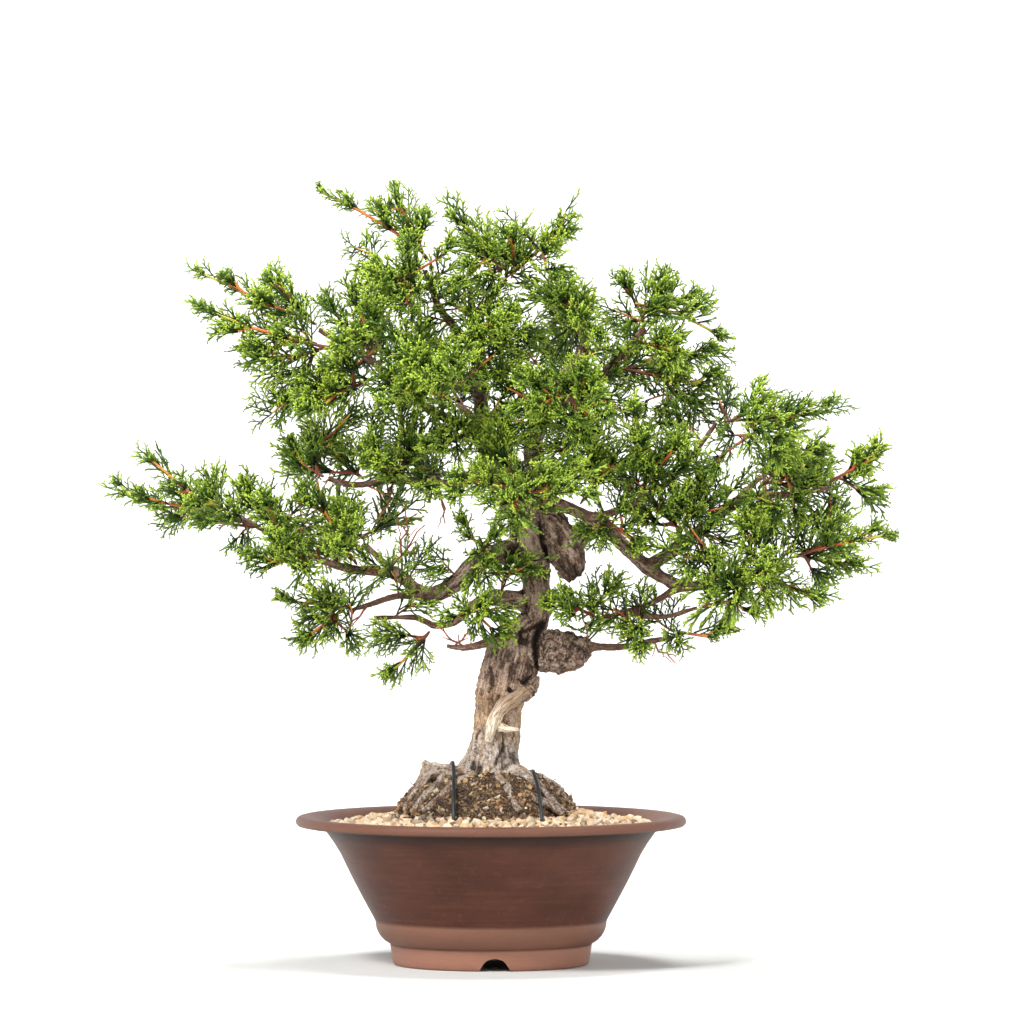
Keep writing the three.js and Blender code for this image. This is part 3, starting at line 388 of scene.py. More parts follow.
def smooth_path(stations, step):
    """Stations resampled about every step along a smooth curve through them."""
    points = np.asarray(stations, float)
    ends = np.vstack([2 * points[0] - points[1], points, 2 * points[-1] - points[-2]])
    path = []
    for i in range(len(points) - 1):
        p0, p1, p2, p3 = ends[i:i + 4]
        count = max(1, round(np.linalg.norm((p2 - p1)[:3]) / step))
        for t in np.arange(count) / count:
            path.append(0.5 * (2 * p1 + (p2 - p0) * t + (2 * p0 - 5 * p1 + 4 * p2 - p3) * t * t
                               + (3 * p1 - p0 - 3 * p2 + p3) * t ** 3))
    path.append(points[-1])
    return np.array(path)


def lathe(profile, sides):
    """Points and faces of a turned shape from a closed outline of radius and height."""
    verts, faces = [], []
    count = len(profile)
    for k in range(sides):
        angle = 2 * math.pi * k / sides
        for radius, height in profile:
            verts.append((math.cos(angle) * radius, math.sin(angle) * radius, height))
    for k in range(sides):
        follow = (k + 1) % sides
        for i in range(count):
            j = (i + 1) % count
            faces.append((k * count + i, follow * count + i, follow * count + j, k * count + j))
    return verts, faces


# Geometry Nodes


def new_tree(name, inputs):
    """A Geometry Nodes tree with named inputs; returns the tree and its input node."""
    tree = bpy.data.node_groups.new(name, "GeometryNodeTree")
    tree.interface.new_socket(name="Geometry", in_out="INPUT", socket_type="NodeSocketGeometry")
    for label, kind, default in inputs:
        socket = tree.interface.new_socket(name=label, in_out="INPUT", socket_type=kind)
        if default is not None:
            socket.default_value = default
    tree.interface.new_socket(name="Geometry", in_out="OUTPUT", socket_type="NodeSocketGeometry")
    return tree, add_node(tree, "NodeGroupInput")


def close_tree(tree, instances, material, joined=()):
    """Ends a tree: real geometry, its material, and what is joined to it."""
    real = add_node(tree, "GeometryNodeRealizeInstances", {"Geometry": instances})
    painted = add_node(tree, "GeometryNodeSetMaterial", {
        "Geometry": real.outputs[0], "Material": material})
    last = painted.outputs[0]
    if joined:
        join = add_node(tree, "GeometryNodeJoinGeometry")
        for part in (last, *joined):
            tree.links.new(part, join.inputs[0])
        last = join.outputs[0]
    add_node(tree, "NodeGroupOutput", {"Geometry": last})


def grown(name, base, tree, values):
    """Runs a tree on a base mesh and returns the plain mesh that it makes."""
    carrier = bpy.data.objects.new(name, base)
    bpy.context.scene.collection.objects.link(carrier)
    modifier = carrier.modifiers.new("grow", "NODES")
    modifier.node_group = tree
    for item in tree.interface.items_tree:
        if item.in_out == "INPUT" and item.name in values:
            modifier[item.identifier] = values[item.name]
    mesh = evaluated_mesh(carrier)
    carrier.modifiers.clear()
    bpy.data.objects.remove(carrier)
    return mesh


def template_set(name, meshes):
    """A collection of shapes to be repeated, in the order given."""
    group = bpy.data.collections.new(name)
    for i, mesh in enumerate(meshes):
        group.objects.link(bpy.data.objects.new(f"{name}_{i:02d}", mesh))
    return group


# Seeds of a grain's size, shape and tint, and more shapes than any collection has.
SIZE_SEED, SHAPE_SEED, TINT_SEED = 7, 11, 23
MOST_SHAPES = 63


def scatter_tree(name, material, keep_base=True):
    """Scatters the shapes of a collection over the faces of a base mesh."""
    tree, given = new_tree(name, [
        ("Shapes", "NodeSocketCollection", None), ("Spacing", "NodeSocketFloat", 0.004),
        ("Density", "NodeSocketFloat", 50000.0), ("Smallest", "NodeSocketFloat", 0.7),
        ("Largest", "NodeSocketFloat", 1.3), ("Tilt", "NodeSocketFloat", 3.14),
        ("Seed", "NodeSocketInt", 1)])
    spread = add_node(tree, "GeometryNodeDistributePointsOnFaces", {
        "Mesh": given.outputs["Geometry"], "Distance Min": given.outputs["Spacing"],
        "Density Max": given.outputs["Density"], "Seed": given.outputs["Seed"]},
        distribute_method="POISSON")
    shapes = add_node(tree, "GeometryNodeCollectionInfo", {
        "Collection": given.outputs["Shapes"], "Separate Children": True, "Reset Children": True})
    turn = add_node(tree, "FunctionNodeRandomValue", {
        0: (-1.0, -1.0, -1.0), 1: (1.0, 1.0, 1.0), 8: given.outputs["Seed"]},
        data_type="FLOAT_VECTOR")
    tilt = add_node(tree, "ShaderNodeVectorMath", {
        0: turn.outputs[0], 3: given.outputs["Tilt"]}, operation="SCALE")
    spun = add_node(tree, "FunctionNodeRotateRotation", {
        "Rotation": spread.outputs["Rotation"], "Rotate By": tilt.outputs[0]},
        rotation_space="LOCAL")
    size = add_node(tree, "FunctionNodeRandomValue", {
        2: given.outputs["Smallest"], 3: given.outputs["Largest"], 8: SIZE_SEED},
        data_type="FLOAT")
    which = add_node(tree, "FunctionNodeRandomValue", {4: 0, 5: MOST_SHAPES, 8: SHAPE_SEED},
                     data_type="INT")
    tint = add_node(tree, "FunctionNodeRandomValue", {2: 0.0, 3: 1.0, 8: TINT_SEED},
                    data_type="FLOAT")
    copies = add_node(tree, "GeometryNodeInstanceOnPoints", {
        "Points": spread.outputs["Points"], "Instance": shapes.outputs[0], "Pick Instance": True,
        "Instance Index": which.outputs[2], "Rotation": spun.outputs[0], "Scale": size.outputs[1]})
    marked = add_node(tree, "GeometryNodeStoreNamedAttribute", {
        "Geometry": copies.outputs[0], "Name": "tint", "Value": tint.outputs[1]},
        data_type="FLOAT", domain="INSTANCE")
    base = (given.outputs["Geometry"],) if keep_base else ()
    close_tree(tree, marked.outputs[0], material, base)
    return tree


def frond_tree(material):
    """Sets a frond of scale-leaf shoots on each point, along its stored axis."""
    tree, given = new_tree("fronds on twigs", [
        ("Fronds", "NodeSocketCollection", None), ("Size", "NodeSocketFloat", 1.0)])
    kinds = {"axis": "FLOAT_VECTOR", "roll": "FLOAT", "stretch": "FLOAT", "variant": "INT"}
    stored = {name: add_node(tree, "GeometryNodeInputNamedAttribute", {"Name": name},
                             data_type=kind) for name, kind in kinds.items()}
    shapes = add_node(tree, "GeometryNodeCollectionInfo", {
        "Collection": given.outputs["Fronds"], "Separate Children": True, "Reset Children": True})
    aim = add_node(tree, "FunctionNodeAlignRotationToVector", {
        "Vector": stored["axis"].outputs[0]}, axis="Z")
    roll = add_node(tree, "FunctionNodeAxisAngleToRotation", {
        "Axis": (0.0, 0.0, 1.0), "Angle": stored["roll"].outputs[0]})
    turned = add_node(tree, "FunctionNodeRotateRotation", {
        "Rotation": aim.outputs[0], "Rotate By": roll.outputs[0]}, rotation_space="LOCAL")
    size = add_node(tree, "ShaderNodeMath", {
        0: stored["stretch"].outputs[0], 1: given.outputs["Size"]}, operation="MULTIPLY")
    copies = add_node(tree, "GeometryNodeInstanceOnPoints", {
        "Points": given.outputs["Geometry"], "Instance": shapes.outputs[0], "Pick Instance": True,
        "Instance Index": stored["variant"].outputs[0], "Rotation": turned.outputs[0],
        "Scale": size.outputs[0]})
    close_tree(tree, copies.outputs[0], material)
    return tree


# Materials


def new_material(name):
    """An empty node material; returns it, its tree and its Principled shader."""
    material = bpy.data.materials.new(name)
    material.use_nodes = True
    tree = material.node_tree
    tree.nodes.clear()
    shader = add_node(tree, "ShaderNodeBsdfPrincipled")
    add_node(tree, "ShaderNodeOutputMaterial", {"Surface": shader.outputs[0]})
    return material, tree, shader


def coat(tree, shader, tone, roughness, specular=None):
    """Gives a shader its colour and its finish."""
    tree.links.new(tone, shader.inputs["Base Color"])
    shader.inputs["Roughness"].default_value = roughness
    if specular is not None:
        shader.inputs["Specular IOR Level"].default_value = specular


def bumped(tree, shader, height, depth_mm, strength):
    """Gives a shader a bump of a real depth."""
    bump = add_node(tree, "ShaderNodeBump", {
        "Height": height, "Distance": depth_mm * MM, "Strength": strength})
    tree.links.new(bump.outputs[0], shader.inputs["Normal"])


def ramp(tree, factor, stops):
    """A colour ramp from positions and hex colours."""
    node = add_node(tree, "ShaderNodeValToRGB", {"Fac": factor})
    while len(node.color_ramp.elements) < len(stops):
        node.color_ramp.elements.new(0.5)
    for element, (place_at, colour) in zip(node.color_ramp.elements, stops):
        element.position = place_at
        element.color = linear(colour)
    return node.outputs[0]


def mix(tree, factor, first, second):
    """Mixes two colours, each a socket or a hex colour."""
    values = {0: factor}
    for key, colour in ((6, first), (7, second)):
        values[key] = linear(colour) if isinstance(colour, str) else colour
    return add_node(tree, "ShaderNodeMix", values, data_type="RGBA").outputs[2]


def maths(tree, operation, first, second):
    """Two values worked into one."""
    return add_node(tree, "ShaderNodeMath", {0: first, 1: second}, operation=operation).outputs[0]


def times(tree, first, second):
    """Two values multiplied."""
    return maths(tree, "MULTIPLY", first, second)


def washed(tree, tone, colour, strength, where):
    """A tone with a thin wash of a colour over the places where a value is high."""
    return mix(tree, times(tree, where, strength), tone, colour)


def between(tree, value, low, high):
    """A value remapped from low..high to 0..1, clamped."""
    return add_node(tree, "ShaderNodeMapRange", {0: value, 1: low, 2: high}).outputs[0]


def between_mm(tree, value, low, high):
    """A length remapped in the same way, from two lengths in millimetres."""
    return between(tree, value, low * MM, high * MM)


def scaled(tree, vector, factors):
    """A vector with its parts scaled."""
    return add_node(tree, "ShaderNodeVectorMath", {0: vector, 1: factors},
                    operation="MULTIPLY").outputs[0]


def grainy(tree, vector, size_mm, detail=3.0, roughness=0.6):
    """Noise whose lumps have a real size in millimetres."""
    return add_node(tree, "ShaderNodeTexNoise", {
        "Vector": vector, "Scale": 1 / (size_mm * MM), "Detail": detail,
        "Roughness": roughness}).outputs["Fac"]


def attribute(tree, name, output="Fac"):
    """A value that the mesh carries."""
    return add_node(tree, "ShaderNodeAttribute", attribute_name=name).outputs[output]


def object_place(tree):
    """Where a point is on the piece."""
    return add_node(tree, "ShaderNodeTexCoord").outputs["Object"]


def height_of(tree, place_at):
    """How high a point is."""
    return add_node(tree, "ShaderNodeSeparateXYZ", {0: place_at}).outputs[2]


def stoneware(body, wiped_and_lit_clay):
    """Unglazed brown stoneware, thrown and wiped: matt, with faint turning lines and sand."""
    material, tree, shader = new_material("unglazed stoneware")
    place_at = object_place(tree)
    height = height_of(tree, place_at)
    lines = grainy(tree, scaled(tree, place_at, (0.05, 0.05, 1.0)), 2.4, 3.0, 0.6)
    blotch = grainy(tree, scaled(tree, place_at, (0.6, 0.6, 1.0)), 26.0, 5.0, 0.6)
    sand = grainy(tree, place_at, 0.5, 2.0)
    tone = mix(tree, between(tree, blotch, 0.36, 0.66), body, "#522e20")
    tone = washed(tree, tone, "#684232", 0.22, between(tree, lines, 0.5, 0.7))
    tone = washed(tree, tone, "#38241b", 0.25, between(tree, lines, 0.44, 0.3))
    # The foot and the lip were wiped while wet, so they are lighter and redder.
    # Painted light: the band is lightened too, standing in for the light its steeper face catches.
    band = times(tree, between_mm(tree, height, 30.0, 27.5), 0.62)
    foot = times(tree, between_mm(tree, height, 15.5, 13.0), 0.85)
    lip = times(tree, between_mm(tree, height, 90.2, 91.6), 0.32)
    wiped_and_lit = maths(tree, "MAXIMUM", maths(tree, "MAXIMUM", band, foot), lip)
    tone = mix(tree, wiped_and_lit, tone, wiped_and_lit_clay)
    tone = mix(tree, foot, tone, "#946856")
    # A little soil dust and lime hangs in the grooves and on the foot.
    dust = between(tree, grainy(tree, place_at, 6.0, 6.0, 0.78), 0.57, 0.75)
    tone = washed(tree, tone, "#94786a", 0.16, dust)
    # Painted shade: a dark band under the lip and a darker groove over the foot, where shade falls.
    under_lip_shade = times(tree, between_mm(tree, height, 80.0, 88.5), between_mm(tree, height, 91.2, 90.2))
    tone = washed(tree, tone, "#190d08", 0.9, under_lip_shade)
    groove_shade = times(tree, between_mm(tree, height, 12.4, 13.6), between_mm(tree, height, 15.2, 14.0))
    tone = washed(tree, tone, "#2f1c14", 0.6, groove_shade)
    tone = washed(tree, tone, "#2a1a13", 0.2, between(tree, sand, 0.62, 0.72))
    coat(tree, shader, tone, 0.46, 0.22)
    relief = maths(tree, "ADD", times(tree, lines, 0.6), times(tree, sand, 0.7))
    relief = maths(tree, "ADD", relief, times(tree, blotch, 2.0))
    bumped(tree, shader, relief, 0.5, 0.6)
    return material


def pumice():
    """Crushed pumice: light, matt and pitted, from cream to ochre with some grey grains."""
    material, tree, shader = new_material("crushed pumice")
    tone = ramp(tree, attribute(tree, "tint"), [
        (0.0, "#6b4d38"), (0.02, "#eaddc8"), (0.3, "#e0cbab"), (0.55, "#d2b086"),
        (0.72, "#efe6d6"), (0.84, "#c08d58"), (0.92, "#b3a48f"), (1.0, "#77736e")])
    pits = grainy(tree, object_place(tree), 1.3, 5.0, 0.75)
    tone = washed(tree, tone, "#b08a5f", 0.5, between(tree, pits, 0.4, 0.66))
    coat(tree, shader, tone, 0.92)
    bumped(tree, shader, pits, 0.5, 0.8)
    return material


def old_soil():
    """Old akadama soil: dark humus with crumbled golden grains."""
    material, tree, shader = new_material("old akadama soil")
    place_at = object_place(tree)
    tone = ramp(tree, attribute(tree, "tint"), [
        (0.0, "#1c120b"), (0.2, "#33231a"), (0.34, "#745740"), (0.52, "#ad8860"),
        (0.66, "#ddb179"), (0.76, "#4c3828"), (0.88, "#c9b192"), (1.0, "#f7e8c8")])
    patch = grainy(tree, place_at, 9.0, 3.0, 0.6)
    tone = washed(tree, tone, "#22150d", 0.75, between(tree, patch, 0.48, 0.58))
    grit = grainy(tree, place_at, 0.9, 6.0, 0.85)
    tone = washed(tree, tone, "#1a100a", 0.7, between(tree, grit, 0.51, 0.56))
    tone = washed(tree, tone, "#d9b183", 0.45, between(tree, grit, 0.47, 0.42))
    coat(tree, shader, tone, 0.9)
    bumped(tree, shader, grit, 0.7, 0.8)
    return material


def fine_roots():
    """Dry fine roots: thin brown fibres, some bleached."""
    material, tree, shader = new_material("dry root fibre")
    tone = ramp(tree, attribute(tree, "tint"), [
        (0.0, "#2b1d14"), (0.45, "#5d432f"), (0.75, "#94755a"), (1.0, "#b98350")])
    coat(tree, shader, tone, 0.8)
    return material


def juniper_bark(old, young):
    """Juniper bark: fibrous and flaking along the limb, grey-brown, red-brown on thin limbs."""
    material, tree, shader = new_material("juniper bark")
    place_at = object_place(tree)
    along = attribute(tree, "grain", "Vector")
    girth = attribute(tree, "girth")
    height = height_of(tree, place_at)
    fibre = grainy(tree, along, 0.8, 6.0, 0.8)
    flake = grainy(tree, along, 2.4, 8.0, 0.78)
    crust = grainy(tree, place_at, 1.5, 6.0, 0.8)
    patch = grainy(tree, place_at, 9.0, 4.0, 0.65)
    rough = maths(tree, "ADD", times(tree, flake, 0.6), times(tree, crust, 0.4))
    tone = ramp(tree, rough, [(0.41, "#261a14"), (0.458, "#604a3a"), (0.5, "#947a67"),
                              (0.54, "#bda491"), (0.6, "#dccab9")])
    tone = mix(tree, 0.16, tone, old)
    tone = washed(tree, tone, "#6a463c", 0.35, between(tree, patch, 0.5, 0.64))
    tone = washed(tree, tone, young, 0.62, between_mm(tree, girth, 5.0, 2.0))
    # Low on the trunk the bark is thin and tan, and weathered grey where the roots begin.
    tan = ramp(tree, rough, [(0.4, "#3c291b"), (0.46, "#8f6d4c"), (0.51, "#c09e76"),
                             (0.6, "#e8d2b1")])
    low = times(tree, between_mm(tree, height, 186, 160), between(tree, patch, 0.4, 0.54))
    tone = mix(tree, low, tone, tan)
    grey = ramp(tree, rough, [(0.4, "#382b22"), (0.46, "#887769"), (0.51, "#c0b3a8"),
                              (0.6, "#ebe4dd")])
    flare = times(tree, between_mm(tree, height, 156, 140), between(tree, flake, 0.36, 0.5))
    tone = washed(tree, tone, grey, 0.85, flare)
    # Soil clings to the roots where they go under, less so on their crust.
    soiled = times(tree, between_mm(tree, height, 127, 116), 0.85)
    tone = washed(tree, tone, "#553c2a", between(tree, crust, 0.58, 0.47), soiled)
    # Painted shade darkens the sunken bark, and a painted highlight lightens the raised bark.
    tone = washed(tree, tone, "#2a1d15", 0.8, attribute(tree, "sunken_shade"))
    tone = washed(tree, tone, "#c5b09c", 0.4, attribute(tree, "raised_highlight"))
    # Painted shade, near black, fills the clefts, the hollow, the fissures, the cracks and the
    # scar's rim.
    tone = washed(tree, tone, "#150e0a", 0.85, attribute(tree, "hollow"))
    # Dead wood is bleached like bone, and brown where it comes out of the live bark.
    bone = ramp(tree, fibre, [(0.4, "#5f4229"), (0.45, "#b3946d"), (0.5, "#e6d3b6"),
                              (0.58, "#faf2e4")])
    bone = washed(tree, bone, "#7d5738", 0.7, between_mm(tree, height, 160, 174))
    tone = mix(tree, attribute(tree, "deadwood"), tone, bone)
    coat(tree, shader, tone, 0.85, 0.25)
    relief = maths(tree, "ADD", times(tree, fibre, 0.45), rough)
    bumped(tree, shader, relief, 2.2, 1.0)
    return material


def twig_bark():
    """Young juniper shoots: red-brown wood at the root, orange further out, green at the end."""
    material, tree, shader = new_material("young juniper bark")
    tone = ramp(tree, attribute(tree, "age"), [
        (0.0, "#4c2c20"), (0.25, "#7c3f28"), (0.5, "#b85a2e"), (0.72, "#d0873a"),
        (0.86, "#b5a63a"), (1.0, "#8fae3a")])
    speck = grainy(tree, object_place(tree), 1.2, 2.0)
    tone = washed(tree, tone, "#6e3b27", 0.35, between(tree, speck, 0.5, 0.7))
    coat(tree, shader, tone, 0.6)
    return material


def scale_leaf(tip_colour, mid_colour, old_leaf_and_shade_colour):
    """Scale leaves pressed to the shoot: waxy, yellow-green at the tips, dark inside the spray as
    old leaf and painted shade.
    """
    material, tree, shader = new_material("juniper scale leaf")
    tip = attribute(tree, "tip")
    tint = attribute(tree, "tint")
    # Towards the foot of each frond the leaf darkens, as older leaf and as painted shade inside the
    # spray.
    tone = mix(tree, between(tree, tip, 0.02, 0.62), old_leaf_and_shade_colour, mid_colour)
    tone = washed(tree, tone, tip_colour, between(tree, tint, -0.2, 0.8),
                  between(tree, tip, 0.5, 0.95))
    # Some shoots are older and bluer than their neighbours.
    tone = washed(tree, tone, "#2f4d1c", 0.5, between(tree, tint, 0.22, 0.0))
    scales = grainy(tree, object_place(tree), 0.9, 1.0)
    tone = washed(tree, tone, old_leaf_and_shade_colour, 0.4, between(tree, scales, 0.5, 0.62))
    coat(tree, shader, tone, 0.5, 0.2)
    bumped(tree, shader, scales, 0.3, 0.5)
    return material


def coated_cord():
    """Rubber-coated tie cord: nearly black, satin, dusty from the soil."""
    material, tree, shader = new_material("rubber-coated cord")
    dust = grainy(tree, object_place(tree), 1.5, 4.0, 0.7)
    coat(tree, shader, mix(tree, between(tree, dust, 0.5, 0.75), "#15191b", "#3a4144"), 0.45)
    bumped(tree, shader, dust, 0.15, 0.5)
    return material


def drain_net():
    """Moulded polythene net: black, satin."""
    material, tree, shader = new_material("moulded polythene")
    dust = grainy(tree, object_place(tree), 2.0, 3.0)
    coat(tree, shader, mix(tree, between(tree, dust, 0.5, 0.8), "#242725", "#4a4c48"), 0.5)
    return material


def studio_paper(glow):
    """Plain pale studio paper: matt, and lit from behind further out."""
    material, tree, shader = new_material("studio paper")
    place_at = object_place(tree)
    out = add_node(tree, "ShaderNodeVectorMath", {0: scaled(tree, place_at, (1, 1, 0))},
                   operation="LENGTH").outputs["Value"]
    near = mix(tree, grainy(tree, place_at, 40.0, 2.0), "#d3d3d1", "#dadad8")
    coat(tree, shader, mix(tree, between(tree, out, 0.35, 2.2), near, "#f7f7f6"), 0.85)
    strength = times(tree, between(tree, out, 0.45, 2.6), glow)
    tree.links.new(strength, shader.inputs["Emission Strength"])
    shader.inputs["Emission Color"].default_value = linear("#fdfdfd")
    # Bounced light finds paper this large by itself, and the render is faster for it.
    material.cycles.emission_sampling = "NONE"
    return material


# The wood as one smooth field of tapering limbs


# How much finer the grain is across a limb than along it.
GRAIN_STRETCH = 0.32
# Points whose nearest limb is looked for at once.
CHUNK = 6000
# A limb is looked at only within its reach, and counts as far off from other points.
REACH = 9
FAR_OFF = 60.0
# Shifts the grain of each limb, so that no two limbs have the same bark.
LIMB_SHIFT = 40.0
# How softly limbs run into each other, in millimetres, and how much they swell there.
BLEND = 2.2
SWELL = 0.7


def in_chunks(rows):
    """Row numbers in lists of about CHUNK."""
    return np.array_split(rows, max(1, len(rows) // CHUNK)) if len(rows) else []


class Wood:
    """Limbs as smooth paths, and what lies nearest to a point."""

    def __init__(self):
        kinds = [(TRUNK, "trunk"), (SWIRL, "lump"), (BURL, "knob"), (KNOT, "knob"), (SNAG, "knob"),
                 (JIN, "jin"), (JIN_SPUR, "jin")]
        kinds += [(stations, "limb") for stations in LIMBS]
        kinds += [(stations, "root") for stations in (*ROOTS, *SURFACE_ROOTS)]
        self.kinds = [kind for _, kind in kinds]
        self.paths = [smooth_path(stations, 5.0) for stations, _ in kinds]
        self.frames = [path_frames(path[:, :3], GRAIN_ACROSS) for path in self.paths]

    def nearest(self, points, index):
        """Distance to one limb's skin, and where on the limb: part, share and way out."""
        path = self.paths[index]
        start, end = path[:-1], path[1:]
        span = end[:, :3] - start[:, :3]
        away = points[:, None, :] - start[None, :, :3]
        share = np.einsum("vsk,sk->vs", away, span) / np.einsum("sk,sk->s", span, span)
        share = np.clip(share, 0, 1)
        out = away - share[..., None] * span[None]
        far = np.linalg.norm(out, axis=2)
        radius = start[None, :, 3] + share * (end[:, 3] - start[:, 3])[None]
        part = np.argmin(far - radius, axis=1)
        rows = np.arange(len(points))
        return (far - radius)[rows, part], part, share[rows, part], out[rows, part]

    def field(self, points):
        """Smoothly joined distance, its direction, the nearest limb and how clearly it wins."""
        distances = np.full((len(self.paths), len(points)), FAR_OFF)
        ways = np.zeros((len(self.paths), len(points), 3))
        for index, path in enumerate(self.paths):
            low = path[:, :3].min(0) - path[:, 3].max() - REACH
            high = path[:, :3].max(0) + path[:, 3].max() + REACH
            near = np.where(np.all((points > low) & (points < high), axis=1))[0]
            for chunk in in_chunks(near):
                distance, _, _, out = self.nearest(points[chunk], index)
                distances[index, chunk] = distance
                ways[index, chunk] = out / (np.linalg.norm(out, axis=1, keepdims=True) + TINY)
        least = distances.min(0)
        weights = np.exp(-(distances - least) / BLEND)
        joined = least - BLEND * np.log(weights.sum(0)) * SWELL
        way = np.einsum("lv,lvk->vk", weights, ways)
        way /= np.linalg.norm(way, axis=1, keepdims=True) + TINY
        ranked = np.sort(distances, axis=0)
        return joined, way, distances.argmin(0), ranked[1] - ranked[0]

    def bark_frame(self, points, owner, twist):
        """Grain coordinates round and along the nearest limb, and its girth there."""
        grain = np.zeros((len(points), 3))
        girth = np.zeros(len(points))
        for index in np.unique(owner):
            path = self.paths[index]
            steps = np.linalg.norm(np.diff(path[:, :3], axis=0), axis=1)
            for chunk in in_chunks(np.where(owner == index)[0]):
                _, part, share, out = self.nearest(points[chunk], index)
                along = np.concatenate([[0], np.cumsum(steps)])[part] + share * steps[part]
                frames = self.frames[index][part]
                angle = np.arctan2(np.einsum("vk,vk->v", out, frames[:, 1]),
                                   np.einsum("vk,vk->v", out, frames[:, 0])) + twist * along
                radius = path[part, 3] + share * (path[part + 1, 3] - path[part, 3])
                grain[chunk] = np.stack([radius * np.cos(angle), radius * np.sin(angle),
                                         along * GRAIN_STRETCH + index * LIMB_SHIFT], axis=1)
                # Knobs have no grain, and dead wood has a longer one than bark.
                if self.kinds[index] == "knob":
                    grain[chunk] = points[chunk] * 0.8
                if self.kinds[index] == "jin":
                    grain[chunk, 2] *= 0.3
                girth[chunk] = radius
        return grain, girth


# Fronds of scale leaves


# Rings of a leafy shoot: the share of its length where each is, and its thickness there.
SLIM = ((0.72, 1.0),)
STOUT = ((0.06, 0.8), (0.84, 1.0))
SHOOT_ACROSS = (0.31, 0.2, 0.93)


def shoot(parts, start, way, length, radius, low, high, rings=SLIM):
    """A leafy shoot, three-sided and blunt, whose tip value runs from low to high."""
    verts, faces, tips = parts
    way = unit(way)
    across = unit(np.cross(way, SHOOT_ACROSS))
    side = np.cross(way, across)
    first = len(verts)
    verts.append(start - way * 0.2)
    tips.append(low)
    for share, thick in rings:
        for k in range(3):
            angle = 2 * math.pi * k / 3
            verts.append(start + way * length * share
                         + radius * thick * (math.cos(angle) * across + math.sin(angle) * side))
        tips.extend([low + (high - low) * share] * 3)
    verts.append(start + way * length)
    tips.append(high)
    for k in range(3):
        a, b = first + 1 + k, first + 1 + (k + 1) % 3
        faces.append((first, b, a))
        for level in range(len(rings) - 1):
            c, d = a + 3 * level, b + 3 * level
            faces.append((c, d, d + 3, c + 3))
        last = 3 * (len(rings) - 1)
        faces.append((a + last, b + last, len(verts) - 1))


# Side shoots grow no longer than this, in millimetres, and fork no more often than this.
LONGEST_TWIG = 13.0
MOST_FORKS = 4


def frond(name, length, twigs, radius, random):
    """One frond along +Z: a curved main shoot with side shoots to both sides, forked again."""
    parts = ([], [], [])
    bend = random.uniform(-0.14, 0.14)
    nod = random.uniform(-0.1, 0.1)

    def on_main(share):
        """Where a share of the main shoot's length is."""
        return np.array((bend * length * share * share, nod * length * share * share,
                         length * share))

    rings = 4
    path = [on_main(0.88 * i / (rings - 1)) for i in range(rings)]
    main, main_faces = tube(path, np.linspace(radius * 0.95, radius * 0.85, rings), 3)
    parts[0].extend(main)
    parts[1].extend(main_faces)
    parts[2].extend(np.repeat(np.linspace(0.0, 0.5, rings), 3))
    shoot(parts, on_main(0.84), on_main(1.0) - on_main(0.84), length * 0.16 + 0.8, radius, 0.5, 1.0,
          STOUT)
    for i in range(twigs):
        share = 0.14 + 0.72 * (i + random.uniform(-0.25, 0.25)) / max(1, twigs - 1)
        share = min(max(share, 0.08), 0.88)
        hand = 1 if i % 2 else -1
        lean = random.uniform(0.5, 0.8)
        lift = random.uniform(-0.55, 0.55)
        way = np.array((hand * math.sin(lean) * math.cos(lift), math.sin(lean) * math.sin(lift),
                        math.cos(lean)))
        size = min(LONGEST_TWIG, length * (0.56 - 0.34 * share)) * random.uniform(0.8, 1.15)
        size += 2.2
        root = on_main(share)
        shoot(parts, root, way, size, radius, 0.1 + 0.4 * share, 0.85 + 0.15 * share, STOUT)
        forks = min(MOST_FORKS, int(size / 2.8))
        for j in range(forks):
            at = 0.38 + 0.46 * (j + random.uniform(-0.2, 0.2)) / max(1, forks - 1)
            turn = (1 if j % 2 else -1) * random.uniform(0.45, 0.75)
            bent = np.array((way[0] * math.cos(turn) + way[2] * math.sin(turn),
                             way[1] + random.uniform(-0.35, 0.35),
                             way[2] * math.cos(turn) - way[0] * math.sin(turn)))
            shoot(parts, root + way * size * at, bent, 1.8 + 0.34 * size * (1.2 - at),
                  radius * 0.98, 0.35 + 0.35 * share, 1.0)
    mesh = mesh_from(name, parts[0], parts[1])
    set_values(mesh, "tip", parts[2])
    shade(mesh)
    return mesh


# Lengths of the template fronds in millimetres, with their side shoots.
FROND_SIZES = ((10.0, 3), (15.0, 4), (21.0, 5), (29.0, 7))
FRONDS_PER_SIZE = 4


def frond_set(shoot_radius, seed):
    """Fronds of a few lengths, four of each."""
    random = np.random.default_rng(seed)
    meshes = []
    for length, twigs in FROND_SIZES:
        for i in range(FRONDS_PER_SIZE):
            meshes.append(frond(f"frond_{length:.0f}_{i}", length, twigs, shoot_radius, random))
    return template_set("frond", meshes)


# How far the fronds lift, and the bare foot of a spray in millimetres.
LIFT = np.array((0, 0, 0.18))
BARE_FOOT = 7


def combed(feet, ways, start, pull):
    """Ways turned outwards along the spray and a little up, most of all near its end."""
    lengths = np.linalg.norm(ways, axis=1, keepdims=True)
    out = feet - start
    away = np.linalg.norm(out, axis=1, keepdims=True) + TINY
    out /= away
    pull = pull * (0.7 + 0.9 * away / away.max())
    turned = (1 - pull) * ways / lengths + pull * out + LIFT
    return turned / np.linalg.norm(turned, axis=1, keepdims=True) * lengths


